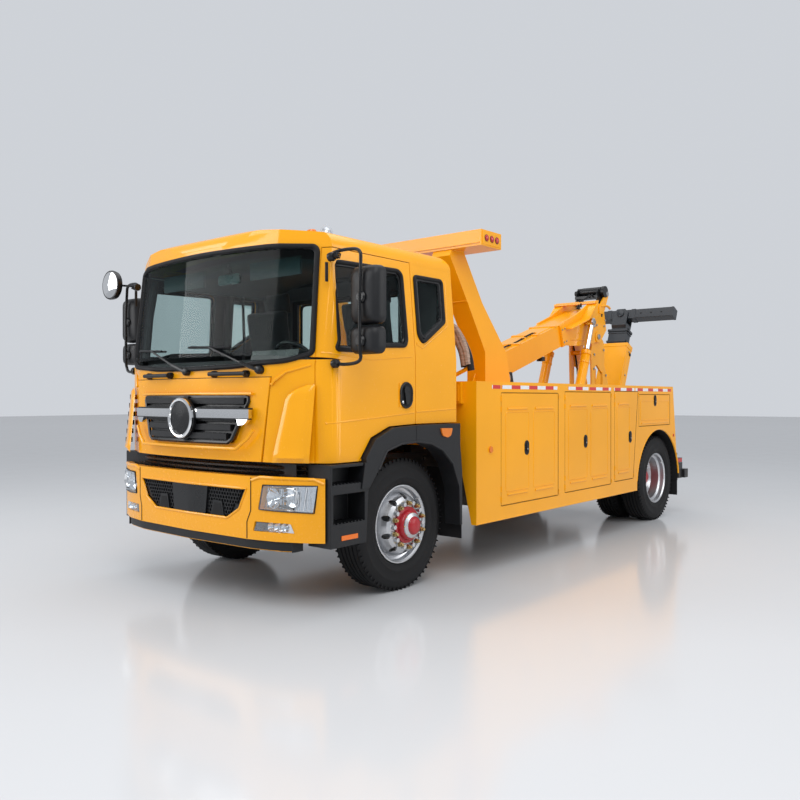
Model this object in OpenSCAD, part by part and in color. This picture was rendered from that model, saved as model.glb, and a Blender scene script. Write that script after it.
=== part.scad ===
// Heavy tow truck: cab-over chassis, locker body, lifting boom and fold-up underlift.
// Millimetres, real size. +Z up, the front faces -Y, +X is the truck's left side.
// Inside each module Y is counted from the front axle; placed() moves it to the row frame.

/* [Chassis] */
// Distance between the front and the rear axle
wheelbase = 4700; // [4200:50:5200]
// Outer radius of every tyre
tyre_r = 505; // [480:1:530]
// Width of one tyre
tyre_w = 275; // [250:1:300]
// Front wheel: distance from the truck's middle to the tyre's middle
front_track = 940; // [900:1:980]
// Rear twin wheels: distance from the truck's middle to the wheel discs
rear_disc_x = 890; // [860:1:920]
// Distance between the two tyres of a twin wheel
twin_gap = 335; // [310:1:350]

/* [Cab] */
// Half width of the cab at the belt line
cab_half_w = 1190; // [1100:5:1250]
// Height of the cab's lower edge
cab_z0 = 1030; // [1000:5:1080]
// Rear wall of the cab
cab_rear_y = 540; // [500:5:580]
// Thickness of the cab's walls and doors
wall = 50; // [40:1:60]

/* [Body] */
// Half width over the locker boxes
body_half_w = 1250; // [1200:5:1275]
// Height of the lockers' top
body_top_z = 1610; // [1550:5:1700]
// Height of the lockers' lower edge
body_low_z = 420; // [380:5:500]
// Front wall of the locker body
body_front_y = 740; // [720:5:800]

/* [Boom] */
// Height of the boom's foot pin
boom_pin_z = 1690; // [1600:5:1800]
// Distance of the boom's foot pin behind the front axle
boom_pin_y = 2860; // [2700:5:3000]
// Rise of the boom from level, in degrees
boom_rise = 17.2; // [15:0.1:25]
// Lean of the folded underlift from upright, in degrees
fold_lean = 23.5; // [15:0.5:30]

/* [Hidden] */
$fn = 64;
row_y = -2685;
rear_y = wheelbase;
wheel_z = tyre_r;
rim_r = 285.5;
rail_x = 350;
rail_z0 = 700;
rail_z1 = 980;
deck_z = 1240;
arch_y = 4620;
arch_r = 640;
king_x = 780;
knuckle_pin = [5570, 750];
link_pin = [5160, 2285];
winch_at = [5420, 2880];
eye_pin = [4835, 2450];
barrel_pin = [4250, 960];
cyl_x = 268;
cyl_len = norm(eye_pin - barrel_pin);
cyl_tilt = atan2(eye_pin[1] - barrel_pin[1], eye_pin[0] - barrel_pin[0]);

// side, hinge Y, free edge Y at the foot, free edge Y at the top, low Z, high Z
locker_rows = [
  ["1", 1122, 2125, 2125, 545, 1512],
  ["2", 2268, 3287, 3287, 555, 1528],
  ["3", 3388, 3866, 3996, 572, 1540]
];
rear_locker = [4030, 4955, 1150, 1508];

yellow = [0.95, 0.62, 0.04];
black = [0.06, 0.06, 0.07];
steel = [0.75, 0.76, 0.78];
grey = [0.25, 0.27, 0.29];
clear = [0.55, 0.68, 0.7, 0.4];

module placed() { translate([0, row_y, 0]) children(); }

module both_sides() {
  children();
  mirror([1, 0, 0]) children();
}

// A plate drawn in the side view (Y, Z) and run across from x0 to x1.
module side_plate(points, x0, x1) {
  translate([x0, 0, 0]) rotate([90, 0, 90]) linear_extrude(x1 - x0) polygon(points);
}

// A plate drawn in the front view (X, Z) and run back from y0 to y1.
module front_plate(points, y0, y1) {
  translate([0, y1, 0]) rotate([90, 0, 0]) linear_extrude(y1 - y0) polygon(points);
}

// A round bar across the truck.
module cross_bar(x0, x1, y, z, r) {
  translate([x0, y, z]) rotate([0, 90, 0]) cylinder(r = r, h = x1 - x0);
}

module box(x0, x1, y0, y1, z0, z1) {
  translate([x0, y0, z0]) cube([x1 - x0, y1 - y0, z1 - z0]);
}

// ---------------------------------------------------------------- chassis
module rail() {
  difference() {
    box(rail_x, rail_x + 80, -980, 5720, rail_z0, rail_z1);
    box(rail_x - 1, rail_x + 72, -981, 5721, rail_z0 + 8, rail_z1 - 8);
  }
}

module chassis_frame() {
  color(black) placed() {
    both_sides() {
      rail();
      // packing under the body's own runners
      box(rail_x, rail_x + 80, 900, 2558, rail_z1 + 1, 1059);
      box(rail_x, rail_x + 80, 3162, 4100, rail_z1 + 1, 1059);
      // hanger and half of the rear guard bar
      box(rail_x, rail_x + 80, 5600, 5720, 440, rail_z0 - 1);
      box(rail_x + 79, 1200, 5600, 5720, 440, 550);
      box(1090, 1170, 5480, 5601, 440, 640);
    }
    for (y = [-940, 1260, 2080, 3600]) box(-421, 421, y, y + 90, rail_z0 + 20, rail_z1 - 20);
    // fuel tank on the left, air vessels on the right, each on two brackets
    box(470, 1020, 1400, 2900, 470, 930);
    for (y = [1500, 2600]) box(431, 469, y, y + 60, 760, 900);
    for (z = [560, 790]) translate([-720, 1400, z]) rotate([-90, 0, 0]) cylinder(r = 105, h = 1100);
    for (y = [1500, 2300]) box(-614, -431, y, y + 60, 640, 710);
    // stand that carries the boom's foot
    box(-430, 430, 2560, 3160, rail_z1 + 1, 1059);
    both_sides() side_plate([[2560, 1058], [3160, 1058], [2960, 1760], [2760, 1760]], 196, 226);
    cross_bar(-226, 226, boom_pin_y, boom_pin_z, 35);
    // seats of the lift cylinders' feet
    box(-421, 421, 4160, 4340, 840, 880);
    both_sides() difference() {
      side_plate([[4170, 879], [4330, 879], [4300, 1002], [4200, 1002]], 333, 348);
      cross_bar(330, 365, barrel_pin[0], barrel_pin[1], 30.4);
    }
  }
}

module engine_block() {
  color(grey) placed() {
    box(-300, 300, -500, 700, 600, 1000);
    box(-200, 200, 700, 1200, 640, 960);
  }
}

module leaf_pack(y_mid, half, x, z) {
  box(x - 38, x + 38, y_mid - half, y_mid + half, z, z + 24);
  box(x - 38, x + 38, y_mid - half * 0.7, y_mid + half * 0.7, z - 24, z);
  box(x - 38, x + 38, y_mid - half * 0.4, y_mid + half * 0.4, z - 48, z - 24);
  for (s = [-1, 1])
    box(x - 30, x + 30, y_mid + s * (half - 40) - 30, y_mid + s * (half - 40) + 30, z + 24, rail_z0);
}

module front_axle() {
  color(black) placed() {
    both_sides() {
      difference() {
        front_plate([[0, 350], [560, 350], [king_x - 100, 455], [king_x + 45, 455],
          [king_x + 45, 555], [king_x - 60, 555], [600, 450], [0, 450]], -45, 45);
        translate([king_x, 0, 400]) cylinder(r = 24, h = 200);
      }
      leaf_pack(0, 720, 400, 620);
      box(350, 450, -70, 70, 450, 572);
    }
  }
}

module knuckle() {
  difference() {
    union() {
      box(king_x - 45, king_x + 130, -55, 55, 380, 630);
      translate([king_x + 120, 0, wheel_z]) rotate([0, 90, 0]) cylinder(r = 45, h = 170);
    }
    box(king_x - 60, king_x + 72, -60, 60, 449, 561);
  }
  translate([king_x, 0, 440]) cylinder(r = 23.7, h = 130);
  // steering arm
  box(king_x - 45, king_x + 45, 55, 210, 385, 415);
}

module rear_axle() {
  color(black) placed() {
    translate([-870, rear_y, wheel_z]) rotate([0, 90, 0]) cylinder(r = 68, h = 1740);
    translate([0, rear_y - 120, wheel_z]) rotate([-90, 0, 0]) cylinder(r = 190, h = 250);
    translate([0, rear_y - 330, wheel_z + 11]) rotate([-90, 0, 0]) cylinder(r = 72, h = 230);
    both_sides() {
      leaf_pack(rear_y, 760, 400, 640);
      box(352, 448, rear_y - 80, rear_y + 80, wheel_z - 20, 594);
    }
  }
}

// ---------------------------------------------------------------- wheels
// Profiles are drawn as (radius, distance along the axle) and turned about the axle.
module turned(points, x) {
  translate([x, 0, wheel_z]) rotate([0, 90, 0]) rotate_extrude() polygon(points);
}

module tyre(x) {
  h = tyre_w / 2;
  turned([[286, -102.6], [299, -107.4], [330, -h + 4], [390, -h], [450, -h + 7], [490, -h + 24],
    [tyre_r - 2, -h + 42], [tyre_r, -60], [tyre_r, 60], [tyre_r - 2, h - 42], [490, h - 24],
    [450, h - 7], [390, h], [330, h - 4], [299, 107.4], [286, 102.6], [286, 92], [345, 104],
    [420, 112], [470, 90], [478, 0], [470, -90], [420, -112], [345, -104], [286, -92]], x);
}

module rim_barrel(x, s) {
  turned([for (p = [[298, -118], [298, -108], [rim_r, -103], [rim_r, -62], [258, -48],
    [258, 48], [rim_r, 62], [rim_r, 103], [298, 108], [298, 118], [290, 118], [278, 108],
    [276, 66], [249, 52], [249, -52], [276, -66], [278, -108], [290, -118]]) [p[0], s * p[1]]], x);
}

// Disc with ten hand holes; s = +1 puts the dish towards +X.
module wheel_disc(x, s) {
  difference() {
    turned([for (p = [[110, 158], [180, 158], [205, 140], [250, 40], [262, 40], [262, 52],
      [214, 152], [186, 168], [110, 168]]) [p[0], s * p[1]]], x);
    for (k = [0:9]) translate([x, 0, wheel_z]) rotate([k * 36, 0, 0])
      translate([s * 100, 0, 213]) rotate([0, 90, 0]) cylinder(r = 22, h = 260, center = true);
  }
}

module wheel_nuts(x, s) {
  for (k = [0:9]) translate([x, 0, wheel_z]) rotate([k * 36 + 18, 0, 0])
    translate([min(0, s * 34), 0, 167.5]) rotate([0, 90, 0]) cylinder(r = 18, h = 34, $fn = 6);
}

module front_wheel() {
  difference() {
    union() {
      rim_barrel(front_track, 1);
      wheel_disc(front_track, 1);
      turned([[45.6, 20], [175, 20], [175, 150], [110, 158], [135, 168], [110, 172],
        [95, 230], [60, 248], [0, 248], [0, 150], [45.6, 150]], front_track);
      wheel_nuts(front_track + 166, 1);
    }
    translate([front_track - 100, 0, wheel_z]) rotate([0, 90, 0]) cylinder(r = 45.6, h = 240);
  }
}

module rear_wheels() {
  inner = rear_disc_x - twin_gap / 2;
  outer = rear_disc_x + twin_gap / 2;
  difference() {
    union() {
      rim_barrel(inner, 1);
      rim_barrel(outer, 1);
      wheel_disc(inner, 1);
      wheel_disc(outer, -1);
      turned([[68.6, -90], [200, -90], [200, -14], [120, -10], [120, 60], [95, 150], [60, 165],
        [0, 165], [0, 20], [68.6, 20]], rear_disc_x);
      wheel_nuts(rear_disc_x + 8, 1);
    }
  }
}

module twin_tyres() {
  tyre(rear_disc_x - twin_gap / 2);
  tyre(rear_disc_x + twin_gap / 2);
}

module rear_set() { translate([0, rear_y, 0]) children(); }

// ---------------------------------------------------------------- cab
// Plan outline of the cab, t inside its skin: a bowed front, swept corners, straight sides.
module cab_plan(t) {
  difference() {
    intersection() {
      translate([0, 3035]) circle(r = 4200 - t, $fn = 360);
      union() {
        polygon([[-780 + t * 0.24, -1400], [780 - t * 0.24, -1400], [780 - t * 0.24, -1096 + t],
          [1119 - t * 0.4536, -923.6 + t * 0.8912], [cab_half_w - t, -807.7], [cab_half_w - t, 2000],
          [-cab_half_w + t, 2000], [-cab_half_w + t, -807.7],
          [-1119 + t * 0.4536, -923.6 + t * 0.8912], [-780 + t * 0.24, -1096 + t]]);
        for (s = [-1, 1]) translate([s * (cab_half_w - 130), -807.7]) circle(r = 130 - t);
      }
    }
    translate([-2000, cab_rear_y - t]) square([4000, 8000]);
  }
}

// Front view: upright sides, leaning upper sides, a rounded edge and a shallow roof.
module cab_front(t) {
  intersection() {
    union() {
      polygon([[cab_half_w - t, cab_z0], [cab_half_w - t, 1780], [1130 - t, 2485],
        [988, 2635 - t], [-988, 2635 - t], [-1130 + t, 2485], [-cab_half_w + t, 1780],
        [-cab_half_w + t, cab_z0]]);
      for (s = [-1, 1]) translate([s * 988, 2493]) circle(r = 142 - t);
      translate([-988, 2400]) square([1976, 282 - t]);
    }
    translate([0, -5322]) circle(r = 8000 - t, $fn = 360);
  }
}

// Brow over the windscreen in section; s runs inward from the skin at the belt line.
module brow(t, z0, z_back) {
  s0 = 0.114 * (z0 - 1688) + 109;
  polygon([[-500, 800], [-500, z0 - 60], [s0 - 116 + t, z0 + 6], [s0, z0 + 110 - t],
    [3400, z_back - t], [3400, 800]]);
  translate([s0, z0]) circle(r = 110 - t);
}

module cab_solid(t) {
  intersection() {
    union() {
      translate([0, 0, cab_z0]) linear_extrude(700) cab_plan(t);
      translate([0, 6, 1700]) rotate([-6.5, 0, 0]) translate([0, 0, -60]) linear_extrude(1100)
        cab_plan(t);
    }
    translate([0, 800, 0]) rotate([90, 0, 0]) linear_extrude(2200) cab_front(t);
    translate([-1300, -1159, 0]) rotate([90, 0, 90]) linear_extrude(2600) brow(t, 2566, 2520);
    for (m = [0, 1]) mirror([m, 0, 0]) translate([780, -1090, 0]) rotate([0, 0, 27])
      translate([-2600, 0, 0]) rotate([90, 0, 90]) linear_extrude(4600) brow(t, 2532, 2960);
    union() {
      box(-1300, 1300, -1400, cab_rear_y - 110, 900, 2800);
      box(-1300, 1300, -1400, cab_rear_y - t, 900, 2500);
      cross_bar(-1300, 1300, cab_rear_y - 110, 2500, 110 - t);
    }
  }
}

// Outlines of the openings, drawn in the side or the front view; g widens them.
function door_outline(g) = [[-938 - g, cab_z0 - g], [-625 + g, cab_z0 - g], [-600 + g, 1060 - g],
  [-500 + g, 1190 - g], [-300, 1264 - g], [6 + g, 1276 - g], [6 + g, 2496 + g], [-862, 2496 + g],
  [-930 - g, 1790], [-938 - g, 1700]];
door_window = [[-842, 1800], [-815, 1855], [-812, 2380], [-796, 2405], [-140, 2420], [-100, 2390],
  [-88, 1900], [-110, 1860], [-530, 1838], [-640, 1800]];
quarter_window = [[60, 1950], [112, 1895], [395, 2070], [402, 2085], [402, 2385], [385, 2402],
  [70, 2400], [56, 2384]];
screen_outline = [[-1062, 1790], [-1048, 1768], [-900, 1722], [-450, 1690], [0, 1682], [450, 1690],
  [900, 1722], [1048, 1768], [1062, 1790], [1042, 2480], [1020, 2510], [700, 2528], [0, 2534],
  [-700, 2528], [-1020, 2510], [-1042, 2480]];
rear_window = [[-620, 1900], [620, 1900], [620, 2350], [-620, 2350]];
panel_outline = [[-719, 1022], [719, 1022], [800, 1612], [-800, 1612]];

module cab_shell() {
  color(yellow) placed() difference() {
    cab_solid(0);
    difference() {
      cab_solid(wall);
      box(-1300, 1300, -1400, 800, 900, 1120);
      box(-1300, 1300, -600, 800, 900, 1330);
    }
    // wheel arches and the engine's room under the floor
    box(-1300, 1300, -1400, -1150, 900, 1000);
    box(-385, 385, -1060, 310, 900, 1400);
    box(-385, 385, 309, 800, 900, 1290);
    both_sides() side_plate([[-600, 900], [-600, 1060], [-500, 1190], [-300, 1264], [6, 1276],
      [800, 1276], [800, 900]], 330, 1300);
    both_sides() side_plate(door_outline(6), cab_half_w - 130, 1300);
    both_sides() side_plate(quarter_window, 1000, 1300);
    front_plate(screen_outline, -1400, -820);
    front_plate(rear_window, 400, 800);
    difference() {
      front_plate([for (p = panel_outline) [p[0] * 1.008, p[1] + (p[1] > 1300 ? 5 : -60)]], -1400, -900);
      cab_solid(42);
    }
  }
}

module cab_interior() {
  color([0.16, 0.16, 0.17]) placed() {
    intersection() {
      cab_solid(wall + 6);
      difference() {
        union() {
          box(-985, 985, -1090, -602, 1122, 1150);
          box(-1040, 1040, -630, 470, 1332, 1360);
          box(-985, 985, -630, -602, 1122, 1360);
        }
        box(-385, 385, -1100, 310, 1100, 1400);
      }
    }
    // engine cover between the seats
    difference() {
      box(-380, 380, -1000, 300, 1122, 1480);
      box(-345, 345, -1001, 301, 1100, 1440);
    }
    // dash across the whole cab
    intersection() {
      cab_solid(wall + 6);
      side_plate([[-1100, 1500], [-760, 1540], [-700, 1600], [-720, 1700], [-820, 1760],
        [-1080, 1725]], -985, 985);
    }
    // steering column and wheel, driver on the left
    translate([600, -640, 1690]) rotate([-58, 0, 0]) {
      rotate_extrude() translate([220, 0]) circle(r = 16);
      cylinder(r = 55, h = 30, center = true);
      for (a = [90, 210, 330]) rotate([0, 0, a]) translate([0, -14, -8]) cube([222, 28, 16]);
      translate([0, 0, -260]) cylinder(r = 32, h = 260);
    }
    // seat boxes, cushions and backs, and the bunk shelf
    for (x = [-600, 600]) {
      box(x - 200, x + 200, -330, 100, 1361, 1500);
      box(x - 250, x + 250, -380, 140, 1499, 1620);
      side_plate([[60, 1618], [180, 1618], [300, 2230], [190, 2250]], x - 240, x + 240);
      side_plate([[208, 2248], [302, 2232], [326, 2400], [240, 2410]], x - 130, x + 130);
    }
  }
}

module door() {
  difference() {
    intersection() {
      difference() {
        cab_solid(0);
        cab_solid(wall);
      }
      side_plate(door_outline(0), cab_half_w - 124, 1300);
    }
    side_plate(door_window, 900, 1300);
  }
  // inner pull and outer handle
  side_plate([[-186, 1405], [-34, 1405], [-34, 1580], [-186, 1580]], cab_half_w - 8, cab_half_w + 6);
}

module door_glass() {
  intersection() {
    difference() {
      cab_solid(20);
      cab_solid(26);
    }
    side_plate(door_window, cab_half_w - 160, 1300);
  }
}

module cab_glass() {
  color(clear) placed() {
    intersection() {
      difference() {
        cab_solid(8);
        cab_solid(15);
      }
      front_plate(screen_outline, -1400, -860);
    }
    both_sides() intersection() {
      difference() {
        cab_solid(12);
        cab_solid(17);
      }
      side_plate(quarter_window, 1000, 1300);
    }
    front_plate(rear_window, cab_rear_y - 30, cab_rear_y - 24);
  }
}

module front_panel() {
  color(yellow) placed() {
    difference() {
      intersection() {
        difference() {
          translate([0, -6, 0]) cab_solid(0);
          cab_solid(34);
        }
        front_plate(panel_outline, -1400, -900);
      }
      // the flange behind the skin stands further in, so that it clears the cab as it opens
      difference() {
        cab_solid(8);
        front_plate([for (p = panel_outline) [p[0] * 0.982, p[1] + (p[1] > 1300 ? -10 : -60)]], -1400, -800);
      }
      front_plate([[-466, 1155], [466, 1155], [500, 1180], [626, 1455], [600, 1482], [-600, 1482],
        [-626, 1455], [-500, 1180]], -1400, -1110);
    }
    // slats and the middle bar follow the bowed front
    for (z = [1200, 1262, 1324, 1386, 1448]) bowed_bar(440 + (z - 1180) * 0.55, z - 9, 18);
    bowed_bar(24, 1150, 336);
  }
}

module bowed_bar(half, z, h) {
  translate([0, 0, z]) linear_extrude(h) intersection() {
    difference() {
      cab_plan(8);
      cab_plan(30);
    }
    translate([-half, -1300]) square([2 * half, 400]);
  }
}

module mirror_set(round_glass) {
  // arms from the door's front edge, then the two heads
  difference() {
    union() {
      box(1100, 1180, -880, -800, 2405, 2450);
      box(1140, 1204, -905, -845, 1685, 1745);
      translate([1130, -872, 2430]) rotate([0, 90, 20]) cylinder(r = 13, h = 290);
      translate([1180, -875, 1715]) rotate([0, 90, 26]) cylinder(r = 13, h = 240);
    }
    cab_solid(-0.4);
  }
  translate([1394, -770, 1700]) cylinder(r = 13, h = 745);
  box(1394 - 125, 1394 + 125, -800, -710, 1970, 2345);
  box(1394 - 125 - 5, 1394 + 125 - 5, -800, -720, 1770, 1945);
  if (round_glass) {
    translate([1394, -770, 2440]) rotate([90, 0, 2]) cylinder(r = 11, h = 210);
    translate([1400, -975, 2450]) rotate([90, 0, 0]) cylinder(r = 118, h = 34);
  }
}

module steps_and_flares() {
  color(black) placed() both_sides() {
    // flare over the front wheel, its guard strip behind and the step box in front
    side_plate([[-640, 840], [-606, 1020], [-592, 1022], [-592, 1052], [-492, 1180], [-297, 1255], [2, 1267],
      [535, 1267], [535, 1100], [560, 900], [560, 450], [535, 450], [520, 760], [430, 950], [300, 1060],
      [150, 1118], [-20, 1140], [-210, 1132], [-370, 1090], [-460, 960], [-560, 840]], 1080, 1235);
    difference() {
      side_plate([[-938, 1022], [-610, 1022], [-640, 840], [-560, 840], [-585, 465], [-938, 462]],
        1010, 1225);
      box(1060, 1240, -910, -600, 620, 820);
      box(1090, 1240, -920, -600, 885, 1000);
    }
  }
}

// ---------------------------------------------------------------- bumper
function bumper_plan(t) = [[0, -1188 + t], [640, -1162 + t], [880, -1112 + t], [1080 - t * 0.5, -1022 + t * 0.7],
  [1185 - t, -950], [1185 - t, -949], [-1185 + t, -949], [-1185 + t, -950],
  [-1080 + t * 0.5, -1022 + t * 0.7], [-880, -1112 + t], [-640, -1162 + t]];

module bumper() {
  color(yellow) placed() difference() {
    union() {
      difference() {
        translate([0, 0, 500]) linear_extrude(432) polygon(bumper_plan(0));
        translate([0, 0, 400]) linear_extrude(600) polygon([for (p = bumper_plan(62))
          [p[0], p[1] > -951 ? -900 : p[1]]]);
      }
      difference() {
        intersection() {
          translate([0, 0, 432]) linear_extrude(90) polygon(bumper_plan(24));
          box(-980, 980, -1300, -800, 400, 600);
        }
        translate([0, 0, 400]) linear_extrude(600) polygon([for (p = bumper_plan(60))
          [p[0], p[1] > -951 ? -900 : p[1]]]);
      }
      both_sides() box(360, 420, -1128, -982, 720, 900);
    }
    front_plate([[-434, 625], [434, 625], [560, 700], [636, 848], [-636, 848], [-560, 700]], -1300, -1150);
    both_sides() {
      front_plate([[731, 712], [1132, 700], [1150, 885], [767, 880]], -1300, -1048);
      front_plate([[690, 560], [1010, 560], [1010, 626], [705, 626]], -1300, -1070);
    }
  }
}

// ---------------------------------------------------------------- gantry and body
module gantry() {
  color(yellow) placed() {
    box(-1210, 1210, 870, 1180, 2755, 2890);
    both_sides() {
      side_plate([[880, 2756], [1060, 2756], [1355, 2330], [1770, 1890], [1830, 1640], [1830, 1330],
        [1400, 1330], [1400, 1890], [1110, 2330], [850, 2700]], 700, 900);
    }
    box(-900, 900, 1450, 1780, deck_z + 0.5, 1331);
  }
}

// Locker box in section (X, Z), t inside its skin.
function locker(t) = [[body_half_w - t, body_low_z + t], [body_half_w - t, body_top_z - t],
  [700 + t, body_top_z - t], [700 + t, 1030 + t], [1060 + t * 0.5, 1030 + t],
  [1200 + t * 0.4, body_low_z + t]];

body_side = [[body_front_y, 400], [body_front_y, 1620], [5060, 1620], [5216, 540], [5160, 540],
  [5160, 400]];

module service_body() {
  color(yellow) placed() {
    both_sides() difference() {
      intersection() {
        front_plate(locker(0), body_front_y, 5220);
        side_plate(body_side, 600, 1300);
      }
      front_plate(locker(16), body_front_y + 16, 4000);
      box(716, body_half_w - 16, 4020, 5000, 1146, body_top_z - 16);
      // arch over the twin wheels
      translate([560, arch_y, 460]) rotate([0, 90, 0]) cylinder(r = arch_r, h = 800);
      box(560, 1300, arch_y - arch_r, 5300, 300, 460);
      box(560, body_half_w - 16, arch_y - arch_r - 10, 5300, 300, 1130);
      for (d = locker_rows) side_plate([[d[1] - 6, d[4] - 6], [d[2] + 6, d[4] - 6],
        [d[3] + 6, d[5] + 6], [d[1] - 6, d[5] + 6]], body_half_w - 40, 1300);
      side_plate([[rear_locker[0] - 6, rear_locker[2] - 6], [rear_locker[1] + 6, rear_locker[2] - 6],
        [rear_locker[1] + 6, rear_locker[3] + 6], [rear_locker[0] - 6, rear_locker[3] + 6]],
        body_half_w - 40, 1300);
      box(695, 905, 1395, 1835, 1239.9, 1700);
    }
    // deck between the lockers, its front wall and its runners
    box(-699, 699, body_front_y + 18, 1799, deck_z - 30, deck_z);
    box(-699, 699, 1801, 2499, deck_z - 30, deck_z);
    difference() {
      box(-699, 699, 2501, 4090, deck_z - 30, deck_z);
      box(-240, 240, 2500, 3200, 1100, 1300);
    }
    box(-699, 699, body_front_y, body_front_y + 16, 1061, body_top_z);
    both_sides() {
      box(rail_x, rail_x + 80, 900, 2530, 1060, deck_z - 31);
      box(rail_x, rail_x + 80, 3190, 4080, 1060, deck_z - 31);
    }
  }
}

module locker_door(d) {
  side_plate([[d[1], d[4]], [d[2], d[4]], [d[3], d[5]], [d[1], d[5]]], body_half_w - 24, body_half_w);
}

module locker_flap() {
  side_plate([[rear_locker[0], rear_locker[2]], [rear_locker[1], rear_locker[2]],
    [rear_locker[1], rear_locker[3]], [rear_locker[0], rear_locker[3]]], body_half_w - 24, body_half_w);
}

// ---------------------------------------------------------------- boom and underlift
// Box drawn along the boom: u runs up the boom from its foot pin, v is square to it.
module along_boom() {
  translate([0, boom_pin_y, boom_pin_z]) rotate([boom_rise, 0, 0]) children();
}

module boom() {
  color(yellow) placed() difference() {
    union() {
      along_boom() difference() {
        box(-180, 180, 0, 2300, 8, 273);
        box(-168, 168, 120, 2400, 20, 261);
      }
      cross_bar(-180, 180, boom_pin_y, boom_pin_z, 75);
      both_sides() {
        // slide pad housing and the head's cheek
        along_boom() box(170, 200, 1395, 1530, -2, 268);
        side_plate([[4230, 2136], [4400, 2128], [4810, 2150], [5036, 2196], [5110, 2212],
          [5250, 2222], [5320, 2290], [5425, 2390], [5350, 2660], [5290, 2722], [5150, 2738],
          [4960, 2726], [4560, 2534], [4230, 2420]], 171, 196);
        // canopy over the lift cylinder
        side_plate([[4250, 2326], [4700, 2470], [4958, 2718], [4940, 2732], [4690, 2486],
          [4250, 2342]], 185, 306);
        // arm that carries the winch
        side_plate([[5190, 2600], [5320, 2600], [5462, 2850], [5470, 2900], [5430, 2932],
          [5385, 2910], [5360, 2850], [5190, 2690]], 190, 208);
      }
      side_plate([[4900, 2696], [4962, 2722], [4962, 2746], [4890, 2716]], -306, 306);
    }
    cross_bar(-200, 200, boom_pin_y, boom_pin_z, 35.5);
    both_sides() cross_bar(160, 210, link_pin[0], link_pin[1], 30.4);
    both_sides() cross_bar(180, 220, winch_at[0], winch_at[1], 20.4);
  }
}

module inner_boom() {
  color(yellow) placed() along_boom() {
    difference() {
      box(-160, 160, 700, 2470, 28, 253);
      box(-148, 148, 690, 2440, 40, 241);
    }
    both_sides() side_plate([[2460, 70], [2600, 70], [2650, 130], [2600, 210], [2460, 210]], 60, 90);
    cross_bar(-89, 89, 2590, 140, 18);
    for (x = [-42, 10]) translate([x, 2590, 140]) rotate([0, 90, 0]) cylinder(r = 66, h = 32);
  }
}

module along_cylinder() {
  translate([0, barrel_pin[0], barrel_pin[1]]) rotate([cyl_tilt, 0, 0]) children();
}

module lift_cylinder_barrels() {
  color(yellow) placed() both_sides() {
    along_cylinder() {
      translate([cyl_x, 60, 0]) rotate([-90, 0, 0]) difference() {
        cylinder(r = 62, h = 1140);
        translate([0, 0, 60]) cylinder(r = 36.5, h = 1100);
      }
      box(cyl_x - 30, cyl_x + 30, -10, 80, -40, 40);
    }
    difference() {
      cross_bar(cyl_x - 30, cyl_x + 30, barrel_pin[0], barrel_pin[1], 55);
    }
    cross_bar(cyl_x + 29, 349, barrel_pin[0], barrel_pin[1], 30);
  }
}

module lift_cylinder_rods() {
  color(steel) placed() both_sides() along_cylinder() {
    translate([cyl_x, 465, 0]) rotate([-90, 0, 0]) cylinder(r = 36, h = cyl_len - 465);
    translate([cyl_x - 32, cyl_len, 0]) rotate([0, 90, 0]) cylinder(r = 58, h = 64);
  }
}

module mast_link() {
  color(yellow) placed() {
    both_sides() difference() {
      side_plate([[5052, 2230], [5080, 2335], [5160, 2372], [5240, 2345], [5400, 2240], [5435, 2150],
        [5430, 1920], [5540, 1690], [5540, 1200], [5512, 872], [5600, 856], [5655, 815],
        [5676, 750], [5655, 690], [5600, 655], [5480, 640], [5090, 640], [5060, 900], [5060, 1700], [5040, 2100]], 140, 165);
      side_plate([[5150, 1890], [5200, 1915], [5365, 1800], [5365, 1110], [5150, 1110]], 130, 175);
      cross_bar(130, 175, knuckle_pin[0], knuckle_pin[1], 40.4);
    }
    box(-145, 145, 5100, 5400, 1000, 1040);
    box(-145, 145, 5095, 5130, 660, 1020);
    box(-145, 145, 5110, 5400, 660, 684);
    cross_bar(-145, 145, 5110, 2080, 30);
    both_sides() cross_bar(150, 196, link_pin[0], link_pin[1], 30);
  }
}

// Box drawn along the folded underlift: u up the arm from its knuckle pin, v to the rear.
module along_arm() {
  translate([0, knuckle_pin[0], knuckle_pin[1]]) rotate([-fold_lean, 0, 0]) children();
}

module underlift_arm() {
  color(yellow) placed() {
    along_arm() {
      difference() {
        box(-190, 190, -83, 83, 130, 1615);
        box(-178, 178, -71, 71, 190, 1560);
        box(-143, 143, -65, 65, 1500, 1700);
      }
      box(-120, 120, -83, 83, 40, 131);
    }
    cross_bar(-132, 132, knuckle_pin[0], knuckle_pin[1], 75);
    cross_bar(-175, 175, knuckle_pin[0], knuckle_pin[1], 40);
  }
}

module underlift_slide() {
  color(grey) placed() along_arm() {
    difference() {
      box(-140, 140, -62, 62, 560, 1850);
      box(-128, 128, -50, 50, 550, 1830);
    }
    // neck that opens into a fork, deep enough for the crossbar's swing
    side_plate([[-70, 1840], [70, 1840], [60, 1870], [92, 1905], [92, 2005], [78, 2005], [78, 1946],
      [-78, 1946], [-78, 2005], [-92, 2005], [-92, 1905], [-60, 1870]], -110, 110);
    for (y = [-92, 76]) front_plate([[-110, 2000], [110, 2000], [110, 2110], [60, 2165], [-60, 2165],
      [-110, 2110]], y, y + 16);
    translate([0, 0, 2087]) rotate([90, 0, 0]) cylinder(r = 30, h = 184, center = true);
  }
}

module crossbar() {
  color(grey) placed() along_arm() {
    difference() {
      translate([0, 0, 2087]) box(-770, 770, -70, 70, -70, 70);
      translate([0, 0, 2087]) rotate([90, 0, 0]) cylinder(r = 30.4, h = 184, center = true);
    }
  }
}

module winch_drum() {
  color(black) placed() {
    cross_bar(-184, 184, winch_at[0], winch_at[1], 40);
    both_sides() cross_bar(150, 164, winch_at[0], winch_at[1], 60);
    both_sides() cross_bar(183, 210, winch_at[0], winch_at[1], 20);
  }
}

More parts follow.
